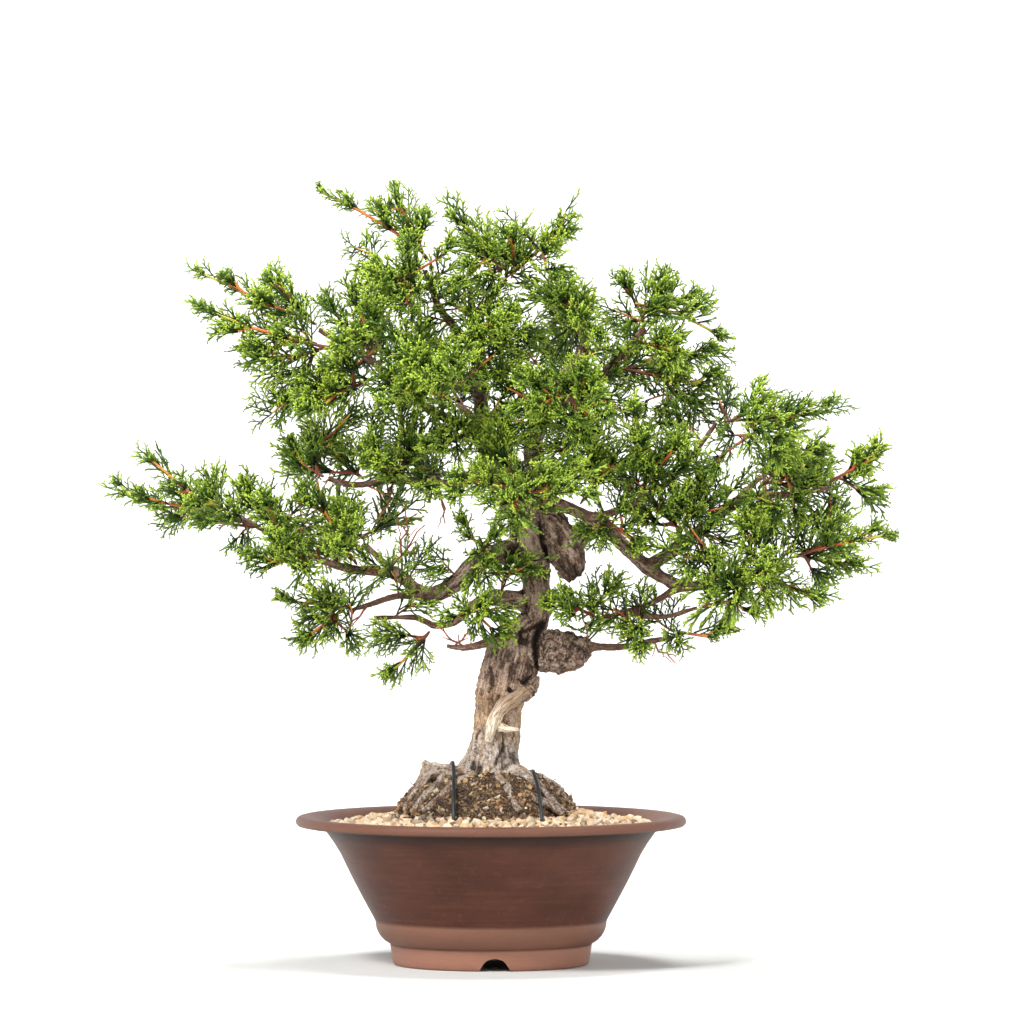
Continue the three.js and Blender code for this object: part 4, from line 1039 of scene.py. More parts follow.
def frond_points(name, feet, ways, random):
    """A mesh of bare points that carry what the frond tree needs to know."""
    sizes = np.array([size for size, _ in FROND_SIZES])
    lengths = np.linalg.norm(ways, axis=1)
    kind = np.argmin(np.abs(np.log(lengths[:, None] / sizes[None])), axis=1)
    base = mesh_from(name, feet, [])
    set_values(base, "axis", ways / lengths[:, None], "FLOAT_VECTOR")
    set_values(base, "roll", random.uniform(0, 2 * math.pi, len(feet)))
    set_values(base, "stretch", lengths / sizes[kind])
    set_values(base, "variant", kind * FRONDS_PER_SIZE
               + random.integers(0, FRONDS_PER_SIZE, len(feet)), "INT")
    set_values(base, "tint", random.uniform(0, 1, len(feet)))
    return base


def stem_fronds(mesh, start, area_each, longest, shortest, random):
    """Feet and ways of the fronds that stand along the stems of a spray."""
    mesh.calc_loop_triangles()
    places = points_of(mesh)
    corners = np.array([tuple(t.vertices) for t in mesh.loop_triangles])
    a, b, c = (places[corners[:, k]] for k in range(3))
    normal = np.cross(b - a, c - a)
    area = np.linalg.norm(normal, axis=1) / 2
    normal /= 2 * area[:, None] + TINY
    edges = np.stack([b - a, c - b, a - c])
    longest_edge = np.linalg.norm(edges, axis=2).argmax(0)
    along = edges[longest_edge, np.arange(len(a))]
    along /= np.linalg.norm(along, axis=1, keepdims=True) + TINY
    middle = (a + b + c) / 3
    along *= np.sign(np.einsum("vk,vk->v", along, middle - start) + TINY)[:, None]
    picked = random.choice(len(area), int(area.sum() / area_each), p=area / area.sum())
    u, v = random.uniform(0, 1, (2, len(picked)))
    over = u + v > 1
    u[over], v[over] = 1 - u[over], 1 - v[over]
    feet = a[picked] + u[:, None] * (b - a)[picked] + v[:, None] * (c - a)[picked]
    away = np.linalg.norm(feet - start, axis=1)
    share = away / np.linalg.norm(places - start, axis=1).max()
    keep = away > BARE_FOOT
    lean = random.uniform(0.5, 0.95, len(picked))[:, None]
    ways = np.cos(lean) * along[picked] + np.sin(lean) * normal[picked]
    sizes = (longest + (shortest - longest) * share) * random.uniform(0.7, 1.25, len(picked))
    ways *= sizes[:, None]
    return feet[keep], ways[keep]


# A stem that fills the crown: its rings, how far it runs past its target, the least way
# from its foot to its target, and the way from frond to frond, both in millimetres.
STEM_RINGS = 8
OVERRUN = 1.2
LEAST_STEM = 16
FROND_GAP = 3.3


def inner_shoots(perches, random):
    """Stems that fill the crown from its nearest wood, and the feet and ways of their fronds."""
    stems, feet, ways = Stems(), [], []
    for target in INNER_SHOOTS:
        # A shoot starts at wood near it, but neither beside its end nor above it.
        far = np.linalg.norm(perches - target, axis=1)
        above = np.clip(perches[:, 2] - target[2] + 6, 0, None)
        start = perches[np.argmin(far + 0.8 * above + 200 * (far < LEAST_STEM))]
        span = OVERRUN * (target - start)
        length = np.linalg.norm(span)
        bow = random.normal(size=3) * 0.06 * length + (0, 0, 0.05 * length)
        path = [start + span * share + bow * math.sin(math.pi * share)
                for share in np.linspace(0, 1, STEM_RINGS)]
        stems.add(path, (0.45 + 0.012 * length, 0.4), (0.0, 0.9))
        feet.append(path[-1])
        ways.append(span / length * 14)
        # Fronds stand every few millimetres, and shorter at the top of the crown.
        for share in np.arange(0.12, 0.97, FROND_GAP / length):
            side = unit(np.cross(span, random.normal(size=3)))
            lean = random.uniform(0.6, 1.0)
            way = math.cos(lean) * span / length + math.sin(lean) * side
            feet.append(start + span * share + bow * math.sin(math.pi * share))
            reach = (25 - 12 * share) * min(1.0, max(0.45, (530 - target[2]) / 90))
            ways.append(way * reach * random.uniform(0.8, 1.2))
    return stems.mesh("inner_shoots"), np.array(feet), np.array(ways)


def spray_fingers(shape):
    """Foot, way and length of each finger of a spray; the fingers are taken off its stems."""
    feet, ways, ends = [], [], []
    for vertex in shape.verts:
        if len(vertex.link_edges) != 3:
            continue
        around = [edge.other_vert(vertex).co for edge in vertex.link_edges]
        foot = (around[0] + around[1] + around[2]) / 3
        feet.append(np.array(foot) / MM)
        ways.append(np.array(vertex.co - foot) / MM)
        ends.append(vertex)
    bmesh.ops.dissolve_verts(shape, verts=ends)
    return np.array(feet), np.array(ways)


# Settings


def hex_colour(label, default, description):
    """A colour setting whose default is a hex colour."""
    return bpy.props.FloatVectorProperty(
        name=label, description=description, subtype="COLOR", size=3, min=0.0, max=1.0,
        default=linear(default)[:3])


def length_mm(label, default, description, low=0.01):
    """A length setting in millimetres."""
    return bpy.props.FloatProperty(name=label, description=description + ", in millimetres",
                                   default=default, min=low)


class BonsaiPotSettings(bpy.types.PropertyGroup):
    """Sizes and colours of the pot."""
    body: hex_colour("Body", "#45251a", "Colour of the fired clay")
    # This colour also lightens the band, as painted light for what its steeper face catches.
    wiped_and_lit_clay: hex_colour("Wiped clay", "#89614f", "Colour of the lip, band and foot")
    sides: bpy.props.IntProperty(name="Sides", description="Faces round the pot", default=128,
                                 min=12)


class BonsaiSoilSettings(bpy.types.PropertyGroup):
    """Grain sizes of the gravel and the old soil."""
    grain: length_mm("Pumice grain", 6.8, "Width of a pumice grain")
    spacing: length_mm("Grain spacing", 4.1, "Least way between two grains")
    crumb: length_mm("Soil crumb", 3.3, "Width of a soil crumb")
    fibre: length_mm("Root fibre", 11.0, "Length of a root fibre")
    seed: bpy.props.IntProperty(name="Seed", description="Placing of the grains", default=5)


class BonsaiWoodSettings(bpy.types.PropertyGroup):
    """Fineness, relief and colours of the wood."""
    fineness: length_mm("Fineness", 1.05, "Width of a face on the bark", 0.4)
    kept: bpy.props.FloatProperty(name="Faces kept", description="Share of the bark's faces that "
                                  "are kept", default=0.66, min=0.1, max=1.0)
    relief: length_mm("Relief", 1.35, "Depth of the bark's plates")
    twist: bpy.props.FloatProperty(name="Twist", description="Turn of the grain along a limb, in "
                                   "radians a millimetre", default=0.012)
    old: hex_colour("Old bark", "#6b5444", "Colour of the bark on the trunk")
    young: hex_colour("Young bark", "#6a4332", "Colour of the bark on thin limbs")


class BonsaiFoliageSettings(bpy.types.PropertyGroup):
    """Sizes and colours of the scale-leaf foliage."""
    shoot: length_mm("Shoot radius", 0.63, "Half the thickness of a leafy shoot")
    plump: length_mm("Stem plumpness", 0.22, "Thickness added to the rounded stems", 0.0)
    size: bpy.props.FloatProperty(name="Frond size", description="Size of the fronds against the "
                                  "twigs that they stand on", default=1.05, min=0.1)
    comb: bpy.props.FloatProperty(name="Comb", description="How far the fronds turn out along "
                                  "their spray", default=0.42, min=0.0, max=1.0)
    stem_area: bpy.props.FloatProperty(name="Stem for a frond", description="Stem surface that "
                                       "each frond has to itself, in square millimetres",
                                       default=31.0, min=5.0)
    long_frond: length_mm("Lowest frond", 25.0, "Length of the fronds at the foot of a spray")
    short_frond: length_mm("Highest frond", 11.0, "Length of the fronds at the tips of a spray")
    tips: hex_colour("Tips", "#b3cb45", "Colour of the growing tips")
    leaf: hex_colour("Leaf", "#4a6a22", "Colour of the grown scale leaves")
    # The inner leaf colour also stands in for shade inside the spray, as painted shade.
    inner: hex_colour("Inner leaf", "#121b05", "Colour of the oldest scale leaves")
    seed: bpy.props.IntProperty(name="Seed", description="Turning of the fronds", default=3)


class BonsaiStageSettings(bpy.types.PropertyGroup):
    """Camera and light."""
    lens: bpy.props.FloatProperty(name="Lens", description="Focal length for a 36 mm sensor",
                                  default=316.5, min=10, subtype="DISTANCE_CAMERA")
    distance: bpy.props.FloatProperty(name="Distance", description="From the camera to the tree",
                                      default=5.85, min=0.5, unit="LENGTH", subtype="DISTANCE")
    key: bpy.props.FloatProperty(name="Key light", description="Power of the main light in watts",
                                 default=120.0, min=0)
    fill: bpy.props.FloatProperty(name="Surroundings", description="Strength of the white room",
                                  default=0.15, min=0)
    glow: bpy.props.FloatProperty(name="Backdrop", description="Own light of the far paper",
                                  default=0.6, min=0)


# The stage

# Where the camera and its aim stand, in metres; its distance is a setting.
CAMERA_SIDE, CAMERA_HEIGHT, AIM_HEIGHT = 0.01365, 0.46, 0.2945
# Softboxes: name, place in metres, width in metres and power against the main light.
SOFTBOXES = (
    ("key_softbox", (-1.3, -2.0, 2.5), 0.7, 1.0),
    ("fill_softbox", (2.6, -2.2, 1.2), 1.6, 0.2),
    ("top_softbox", (0.2, 0.1, 2.7), 0.9, 0.75),
)
TREE_MIDDLE = Vector((0, 0, 0.28))
# The round paper sweep in millimetres: its wall, its bend into the wall, and its sides.
WALL, BEND, WALL_TOP, PAPER_SIDES = 8600, 1800, 5200, 96


def aimed(holder, at, target):
    """Stands a light or camera at a place and turns it to a target."""
    holder.location = at
    holder.rotation_euler = (target - Vector(at)).to_track_quat("-Z", "Y").to_euler()
    bpy.context.scene.collection.objects.link(holder)


class BONSAI_OT_stage(bpy.types.Operator):
    """Sets up the pale round studio, its soft light and the camera"""
    bl_idname = "bonsai.stage"
    bl_label = "Studio"

    def execute(self, context):
        settings = context.scene.bonsai_stage
        outline = [(1, 0), (600, 0), (2000, 0), (4200, 0)]
        outline += [(WALL - BEND + BEND * math.sin(a), BEND - BEND * math.cos(a))
                    for a in np.linspace(0, math.pi / 2, 14)] + [(WALL, WALL_TOP)]
        verts = [point for radius, z in outline for point in ring(radius, z, PAPER_SIDES)]
        faces = ring_faces(len(outline), PAPER_SIDES) + [tuple(range(PAPER_SIDES))]
        sweep = place("studio_sweep", mesh_from("studio_sweep", verts, faces),
                      studio_paper(settings.glow))

        for name, at, width, share in SOFTBOXES:
            lamp = bpy.data.lights.new(name, "AREA")
            lamp.size = width
            lamp.energy = settings.key * share
            aimed(bpy.data.objects.new(name, lamp), at, TREE_MIDDLE)
        room = bpy.data.worlds.new("white room")
        room.use_nodes = True
        back = room.node_tree.nodes["Background"]
        back.inputs["Color"].default_value = linear("#fdfdfd")
        back.inputs["Strength"].default_value = settings.fill
        context.scene.world = room
        context.scene.view_settings.view_transform = "Standard"

        camera = bpy.data.objects.new("camera", bpy.data.cameras.new("camera"))
        camera.data.lens = settings.lens
        camera.data.clip_end = 60
        aimed(camera, (CAMERA_SIDE, -settings.distance, CAMERA_HEIGHT),
              Vector((CAMERA_SIDE, 0, AIM_HEIGHT)))
        context.scene.camera = camera
        return {"FINISHED"}


# The pot

SHARP_EDGE = math.radians(42)
# The turned outline, as radius and height in millimetres, from under the floor to above it.
POT_OUTLINE = [
    (0, 9.2), (52.5, 9.2), (53.2, 0.6), (53.8, 0.0), (61.4, 0.0), (63.0, 0.5), (63.7, 1.4),
    (64.4, 4.0), (65.0, 9.0), (65.6, 12.6), (65.7, 13.7), (66.3, 14.3), (67.3, 14.8),
    (69.6, 16.3), (71.9, 18.7), (73.7, 21.6), (74.8, 24.6), (75.2, 27.0), (75.15, 28.0),
    (75.4, 28.8), (76.4, 30.9), (79.4, 36.3), (84.2, 45.2), (89.1, 54.5), (93.6, 63.6),
    (97.9, 72.6), (102.0, 79.3), (105.6, 84.4), (108.0, 87.6), (109.6, 89.8), (112.5, 90.6),
    (118.0, 90.5), (123.4, 90.3), (125.6, 90.7), (126.8, 91.9), (127.15, 93.4), (126.7, 95.0),
    (125.3, 96.3), (123.0, 96.9), (120.0, 96.8), (116.5, 96.0), (112.5, 94.4), (109.0, 92.2),
    (105.6, 89.0), (100.4, 84.0), (58.0, 17.2), (56.0, 16.9), (0, 16.9),
]
# The notch is a low arch with soft shoulders: its half width at each height, its top, where
# it stands, and how far out its cutter reaches.
NOTCH = [(11.4, -2), (11.2, 0.3), (9.6, 1.3), (8.5, 3.1), (7.2, 5.2), (5.4, 7), (2.9, 8.1)]
NOTCH_TOP = 8.5
NOTCH_X = 2.6
NOTCH_REACH = 80
# Drain holes: x, radius and sides.
HOLES = ((0, 14.0, 40), (-38, 3.0, 16), (38, 3.0, 16))


def notch_cutter():
    """Points and faces of the arch that is cut through the foot from front to back."""
    arch = [(-x, z) for x, z in NOTCH] + [(0, NOTCH_TOP)] + NOTCH[::-1]
    count = len(arch)
    verts = [(x + NOTCH_X, y, z) for y in (-NOTCH_REACH, NOTCH_REACH) for x, z in arch]
    faces = [tuple(range(count)), tuple(range(2 * count - 1, count - 1, -1))]
    faces += [(i, i + count, (i + 1) % count + count, (i + 1) % count) for i in range(count)]
    return verts, faces


def outward(name, verts, faces):
    """A mesh with doubled points joined and its faces turned outwards."""
    shape = bmesh.new()
    shape.from_mesh(mesh_from(name, verts, faces))
    bmesh.ops.remove_doubles(shape, verts=shape.verts, dist=SAME_POINT)
    bmesh.ops.dissolve_degenerate(shape, edges=shape.edges, dist=SAME_POINT / 10)
    bmesh.ops.recalc_face_normals(shape, faces=shape.faces)
    mesh = bpy.data.meshes.new(name)
    shape.to_mesh(mesh)
    return mesh


class BONSAI_OT_pot(bpy.types.Operator):
    """Turns the round stoneware pot, with its band, foot ring, notches and drain holes"""
    bl_idname = "bonsai.pot"
    bl_label = "Pot"

    def execute(self, context):
        settings = context.scene.bonsai_pot
        pot = place("pot_body", outward("pot_body", *lathe(POT_OUTLINE, settings.sides)),
                    stoneware(rgba(settings.body), rgba(settings.wiped_and_lit_clay)))
        cutters = [notch_cutter()]
        cutters += [tube([(x, 0, 2), (x, 0, 25)], [radius] * 2, sides)
                    for x, radius, sides in HOLES]
        for i, (verts, faces) in enumerate(cutters):
            cut = pot.modifiers.new("cut", "BOOLEAN")
            cut.operation = "DIFFERENCE"
            cut.solver = "EXACT"
            cut.object = place(f"cutter_{i}", outward(f"cutter_{i}", verts, faces))
        mesh = evaluated_mesh(pot)
        pot.modifiers.clear()
        pot.data = mesh
        for i in range(len(cutters)):
            bpy.data.objects.remove(bpy.data.objects[f"cutter_{i}"])
        shade(mesh)
        mesh.set_sharp_from_angle(angle=SHARP_EDGE)
        hand_over(pot, "clay", "pot")
        return {"FINISHED"}


# The soil

# Heights of the gravel and of the root ball: radii, then how high each is, in millimetres.
BED_HEIGHTS = ([52, 62, 80, 104], [98.5, 97.0, 94.0, 90.2])
HEAP_HEIGHTS = ([0, 24, 37, 48, 56, 60, 61], [126.5, 125.4, 120.2, 113.6, 104.6, 96, 93])
# The root ball stands a little to the left.
HEAP_X = -3.0
# Lumps of bare ground: their width in millimetres, and their height against its relief.
GROUND_LUMPS = ((5.0, 1.0), (2.2, 0.5), (13.0, 1.3))
HEAP_TINT = 0.12


def ground_sheet(name, radii, heights, sectors, seed, relief, centre_x=0.0):
    """A ring of soil as a fine bumpy sheet with a height for each radius."""
    verts = np.array([point for radius in radii for point in
                      ring(radius, np.interp(radius, *heights), sectors, centre_x)])
    verts[:, 2] += sum(share * relief * noise(verts / width, seed + i)
                       for i, (width, share) in enumerate(GROUND_LUMPS))
    return mesh_from(name, verts, [face[::-1] for face in ring_faces(len(radii), sectors)])


def stone_shapes(count, width, corners, random):
    """Angular grains: hulls of a few random corners."""
    meshes = []
    for i in range(count):
        shape = bmesh.new()
        for _ in range(corners):
            way = unit(random.normal(size=3))
            size = width / 2 * random.uniform(0.86, 1.08) * MM
            shape.verts.new((way[0] * size * random.uniform(0.85, 1.15), way[1] * size,
                             way[2] * size))
        hull = bmesh.ops.convex_hull(shape, input=shape.verts)
        bmesh.ops.delete(shape, geom=list({v for v in hull["geom_interior"]
                                           if isinstance(v, bmesh.types.BMVert)}), context="VERTS")
        bmesh.ops.recalc_face_normals(shape, faces=shape.faces)
        mesh = bpy.data.meshes.new(f"grain_{i}")
        shape.to_mesh(mesh)
        meshes.append(mesh)
    return meshes


class BONSAI_OT_gravel(bpy.types.Operator):
    """Fills the pot with pumice grains"""
    bl_idname = "bonsai.gravel"
    bl_label = "Pumice gravel"

    def execute(self, context):
        settings = context.scene.bonsai_soil
        random = np.random.default_rng(settings.seed)
        bed = ground_sheet("gravel_bed", np.linspace(52, 105.5, 22), BED_HEIGHTS, 90, 31, 1.2)
        set_values(bed, "tint", np.zeros(len(bed.vertices)))
        material = pumice()
        bed.materials.append(material)
        grains = template_set("pumice_grain", stone_shapes(8, settings.grain, 13, random))
        tree = scatter_tree("grains on the bed", material)
        mesh = grown("gravel_grains", bed, tree, {
            "Shapes": grains, "Spacing": settings.spacing * MM, "Density": 110000.0,
            "Smallest": 0.6, "Largest": 1.25, "Seed": settings.seed})
        hand_over(place("gravel_grains", mesh, smooth=False), "pumice", "gravel")
        return {"FINISHED"}


class BONSAI_OT_root_ball(bpy.types.Operator):
    """Heaps the old root ball: dark soil, golden crumbs and dry root fibres"""
    bl_idname = "bonsai.root_ball"
    bl_label = "Root ball"

    def execute(self, context):
        settings = context.scene.bonsai_soil
        random = np.random.default_rng(settings.seed + 1)
        heap = ground_sheet("root_ball_soil", np.linspace(6, 61, 44), HEAP_HEIGHTS, 110, 57, 1.5,
                            HEAP_X)
        set_values(heap, "tint", np.full(len(heap.vertices), HEAP_TINT))
        soil = old_soil()
        heap.materials.append(soil)
        crumbs = template_set("soil_crumb", stone_shapes(6, settings.crumb, 11, random))
        mesh = grown("root_ball_soil", heap, scatter_tree("crumbs on the heap", soil), {
            "Shapes": crumbs, "Spacing": settings.crumb * 0.62 * MM, "Density": 290000.0,
            "Smallest": 0.4, "Largest": 1.6, "Seed": settings.seed})
        hand_over(place("root_ball_soil", mesh, smooth=False), "old_soil", "root_ball")

        fibres = []
        for i in range(6):
            size = settings.fibre * random.uniform(0.6, 1.2)
            steps = random.normal(size=(5, 3)) * 0.35 * size / 5 + np.array((size / 5, 0, 0))
            path = np.cumsum(np.vstack([(0, 0, 0), steps]), axis=0)
            path[:, 2] = path[:, 2] * 0.6 + 0.3
            verts, faces = tube(path - path.mean(0) * (1, 1, 0), np.linspace(0.34, 0.16, 6), 3)
            fibres.append(mesh_from(f"fibre_{i}", verts, faces))
        base = ground_sheet("root_fibres", np.linspace(20, 60, 20), HEAP_HEIGHTS, 60, 57, 1.1,
                            HEAP_X)
        tree = scatter_tree("fibres on the heap", fine_roots(), keep_base=False)
        mesh = grown("root_fibres", base, tree, {
            "Shapes": template_set("root_fibre", fibres), "Spacing": 3.4 * MM, "Density": 90000.0,
            "Smallest": 0.6, "Largest": 1.25, "Tilt": 0.5, "Seed": settings.seed + 3})
        hand_over(place("root_fibres", mesh), "old_soil")
        return {"FINISHED"}


# The bark

# A hollow under the crown's fork, by its centre and half sizes, and the scar of a cut limb.
HOLLOW = ((14, -11, 268), (5.0, 7, 4.5))
SCAR = (36.6, -18.5, 198.4)
SCAR_RIM = 2.9
# How often the dressed wood is drawn towards the smooth one, and how far each time.
PULLS, PULL = 5, 0.9
MOST_PULL = 1.5


def bounded(values, low=0, high=1):
    """Values held between two bounds."""
    return np.clip(values, low, high)


def cleft_depth(points):
    """How deep each point lies in one of the clefts of the front, and how dark its painted shade
    is.
    """
    depth = np.zeros(len(points))
    waver = 0.9 * noise(points / 4.5, 41) + 0.5 * noise(points / 1.7, 42)
    for deep, stations in CLEFTS:
        path = smooth_path(stations, 2.0)
        for (x0, z0, w0), (x1, z1, w1) in zip(path[:-1], path[1:]):
            span = np.array((x1 - x0, z1 - z0))
            away = points[:, (0, 2)] - (x0, z0)
            share = bounded(away @ span / (span @ span))
            far = np.linalg.norm(away - share[:, None] * span, axis=1) + waver
            shape = bounded(1.35 - far / (w0 + share * (w1 - w0)) * 0.85) * (points[:, 1] < -2)
            depth = np.maximum(depth, deep * shape)
    return depth, bounded(depth / 2.6 - 0.45)


def bark_relief(points, wood, settings):
    """Bark over the smooth wood: its height, and the values that its material reads."""
    _, way, owner, clear = wood.field(points)
    grain, girth = wood.bark_frame(points, owner, settings.twist)
    kinds = np.array([wood.kinds[i] for i in owner])
    jin = kinds == "jin"
    gnarled = np.isin(kinds, ("knob", "lump"))
    # Noise is divided by its lumps' width in millimetres; its last number is its seed.
    plates = np.tanh(2.4 * (noise(grain / 3.3, 3) + 0.5 * noise(grain / 1.6, 4)))
    crust = noise(points / 1.9, 15) + 0.6 * noise(points / 3.6, 16)
    fissure = bounded(1 - np.abs(noise(grain / 5.2, 5)) / 0.15)
    fissure *= bounded(0.3 + noise(grain / 9, 8))
    muscle = noise(points / 8.5, 6) + 0.6 * noise(grain * (1, 1, 0.4) / 9, 7)
    # The live bark is flatter on thin limbs and where two limbs meet.
    calm = bounded(clear / 2.5, 0.35) * bounded(girth / 8, 0.25)
    lift = settings.relief * calm * (0.5 * plates - 1.1 * fissure + 0.4 * crust)
    lift += 1.25 * muscle * bounded((girth - 2.5) / 9)
    # Knobs are cracked all over, and roots are lumpy.
    crack = bounded(1 - np.abs(noise(points / 6.0, 33) + 0.35 * noise(points / 2.2, 34)) / 0.16)
    crack *= gnarled * bounded(clear / 2)
    lift += gnarled * (0.9 * np.tanh(2 * noise(points / 4.4, 31)) + 0.2) - 1.3 * crack
    gnarl = noise(points / 5.0, 21) + 0.9 * noise(points / 2.4, 22) - 0.5 * plates
    lift += np.where(kinds == "root", 0.55 * gnarl * bounded(girth / 3, 0.3) + 0.5, 0)
    # The clefts, the hollow and the rim of the scar go in.
    cleft, dark = cleft_depth(points)
    centre, half_sizes = HOLLOW
    hollow = bounded(1.6 - np.linalg.norm((points - centre) / half_sizes, axis=1))
    scar = np.linalg.norm(points - SCAR, axis=1)
    rim = bounded(1 - np.abs(scar - SCAR_RIM) / 1.2)
    lift -= cleft + 2.6 * hollow + 0.9 * rim
    strands = 1.5 * np.abs(noise(grain / 1.7, 11)) + 0.5 * noise(points / 3.2, 12)
    lift = np.where(jin, strands - 0.6, lift)
    # Painted shade for the material: the fissures and cracks, with the clefts, the hollow and the
    # scar's rim.
    seams = np.maximum(bounded(1.5 * fissure - 0.2) * bounded(girth / 6), 0.5 * crack)
    shadow = bounded(np.maximum(np.maximum(dark, hollow), np.maximum(seams, rim)))
    return lift, way, {
        "grain": grain * MM, "girth": girth * MM, "hollow": shadow * ~jin,
        "raised_highlight": bounded(lift - 0.35), "sunken_shade": bounded(-0.1 - 0.3 * gnarled - lift),
        "deadwood": np.maximum(jin * bounded(clear / 0.8), bounded(2.2 - scar))}


class BONSAI_OT_wood(bpy.types.Operator):
    """Grows the bark over the trunk, limbs and roots, with the dead wood down the front"""
    bl_idname = "bonsai.wood"
    bl_label = "Trunk and limbs"

    def execute(self, context):
        settings = context.scene.bonsai_wood
        shape = merged_copy("trunk_and_branches")
        for stations in (*SURFACE_ROOTS, SNAG, JIN, JIN_SPUR):
            path = smooth_path(stations, 3.0)
            verts, faces = tube(path[:, :3], path[:, 3], 10)
            shape.from_mesh(mesh_from("small_wood", verts, faces))
        mesh = bpy.data.meshes.new("bark")
        shape.to_mesh(mesh)
        rough = place("bark", mesh)
        remesh = rough.modifiers.new("even", "REMESH")
        remesh.mode = "VOXEL"
        remesh.voxel_size = settings.fineness * MM
        mesh = evaluated_mesh(rough)
        points = points_of(mesh)
        wood = Wood()
        # The voxels' steps go as the faces are drawn onto the smooth wood.
        for _ in range(PULLS):
            joined, way, _, _ = wood.field(points)
            points -= way * bounded(joined, -MOST_PULL, MOST_PULL)[:, None] * PULL
        lift, way, _ = bark_relief(points, wood, settings)
        move_points(mesh, inside_box(points + way * lift[:, None]))
        rough.modifiers.clear()
        rough.data = mesh
        thin = rough.modifiers.new("thin", "DECIMATE")
        thin.ratio = settings.kept
        mesh = evaluated_mesh(rough)
        bpy.data.objects.remove(rough)
        _, _, values = bark_relief(points_of(mesh), wood, settings)
        for name, value in values.items():
            set_values(mesh, name, value, "FLOAT_VECTOR" if value.ndim == 2 else "FLOAT")
        bark = place("bark", mesh, juniper_bark(rgba(settings.old), rgba(settings.young)))
        hand_over(bark, "bark", "trunk_and_branches")
        return {"FINISHED"}


# Dry twigs and ties

TWIG_SEED = 8
TWIG_RADIUS, SIDE_TWIG_RADIUS = 0.85, 0.5
# The radius and the sides of a tie.
CORD_RADIUS, CORD_SIDES = 1.2, 12
# Thin dry twigs inside the crown: where each starts and ends.
DRY_TWIGS = [
    ((-58, 4, 256), (-56, 0, 300)), ((-66, 6, 258), (-43, 2, 286)), ((-6, 4, 392), (0, -6, 414)),
    ((-18, -13, 207), (-34, -16, 220)), ((-24, -13, 207), (-14, -17, 218)),
    ((-100, 8, 262), (-113, 0, 318)), ((-112, 10, 266), (-126, 26, 300)),
    ((-34, 12, 313), (-30, 26, 286)), ((-62, 10, 315), (-72, -14, 292)),
    ((90, -14, 269), (104, -22, 300)), ((146, -10, 248), (134, -24, 278)),
    ((128, -4, 277), (118, 14, 306)), ((96, -22, 304), (110, -6, 332)),
    ((52, 14, 366), (74, 22, 352)), ((-45, 4, 364), (-58, -12, 342)), ((-5, 8, 345), (8, -8, 366)),
    ((28, 12, 335), (12, 20, 356)), ((44, 4, 378), (24, -10, 398)), ((-22, 0, 413), (-6, 12, 430)),
    ((-80, 0, 234), (-96, -8, 216)), ((104, -9, 211), (120, 2, 196)),
    ((178, -6, 256), (190, 10, 236)),
]


class BONSAI_OT_dry_twigs(bpy.types.Operator):
    """Grows the thin leafless twigs inside the crown"""
    bl_idname = "bonsai.dry_twigs"
    bl_label = "Dry twigs"

    def execute(self, context):
        random = np.random.default_rng(TWIG_SEED)
        twigs = Stems()

        def twig(start, end, radius):
            """Adds a slightly crooked twig and returns its path."""
            span = end - start
            path = [start + span * share + random.normal(size=3) * 0.05 * np.linalg.norm(span)
                    * math.sin(math.pi * share) for share in np.linspace(0, 1, 6)]
            twigs.add(path, (radius, radius * 0.45), (0.15, 0.5))
            return path

        for start, end in DRY_TWIGS:
            path = twig(np.array(start, float), np.array(end, float), TWIG_RADIUS)
            size = np.linalg.norm(path[-1] - path[0])
            for _ in range(3):
                foot = path[random.integers(1, 5)]
                way = unit((path[-1] - path[0]) / size + random.normal(size=3) * 0.55)
                twig(foot, foot + way * size * random.uniform(0.25, 0.5), SIDE_TWIG_RADIUS)
        hand_over(place("dry_twigs", twigs.mesh("dry_twigs"), twig_bark()), "bark")
        return {"FINISHED"}


class BONSAI_OT_ties(bpy.types.Operator):
    """Lays the two coated ties over the roots"""
    bl_idname = "bonsai.ties"
    bl_label = "Ties"

    def execute(self, context):
        material = coated_cord()
        for name, stations in TIES.items():
            path = smooth_path(stations, 1.4)
            verts, faces = tube(path, [CORD_RADIUS] * len(path), CORD_SIDES)
            piece = place(name + "_cord", mesh_from(name + "_cord", verts, faces), material)
            hand_over(piece, "coated_cord", name)
        return {"FINISHED"}


class BONSAI_OT_drain_screen(bpy.types.Operator):
    """Paints the net over the drain hole"""
    bl_idname = "bonsai.drain_screen"
    bl_label = "Drain screen"

    def execute(self, context):
        net = frame["nodes"]["drain_screen"].data
        net.materials.clear()
        net.materials.append(drain_net())
        return {"FINISHED"}


# The crown

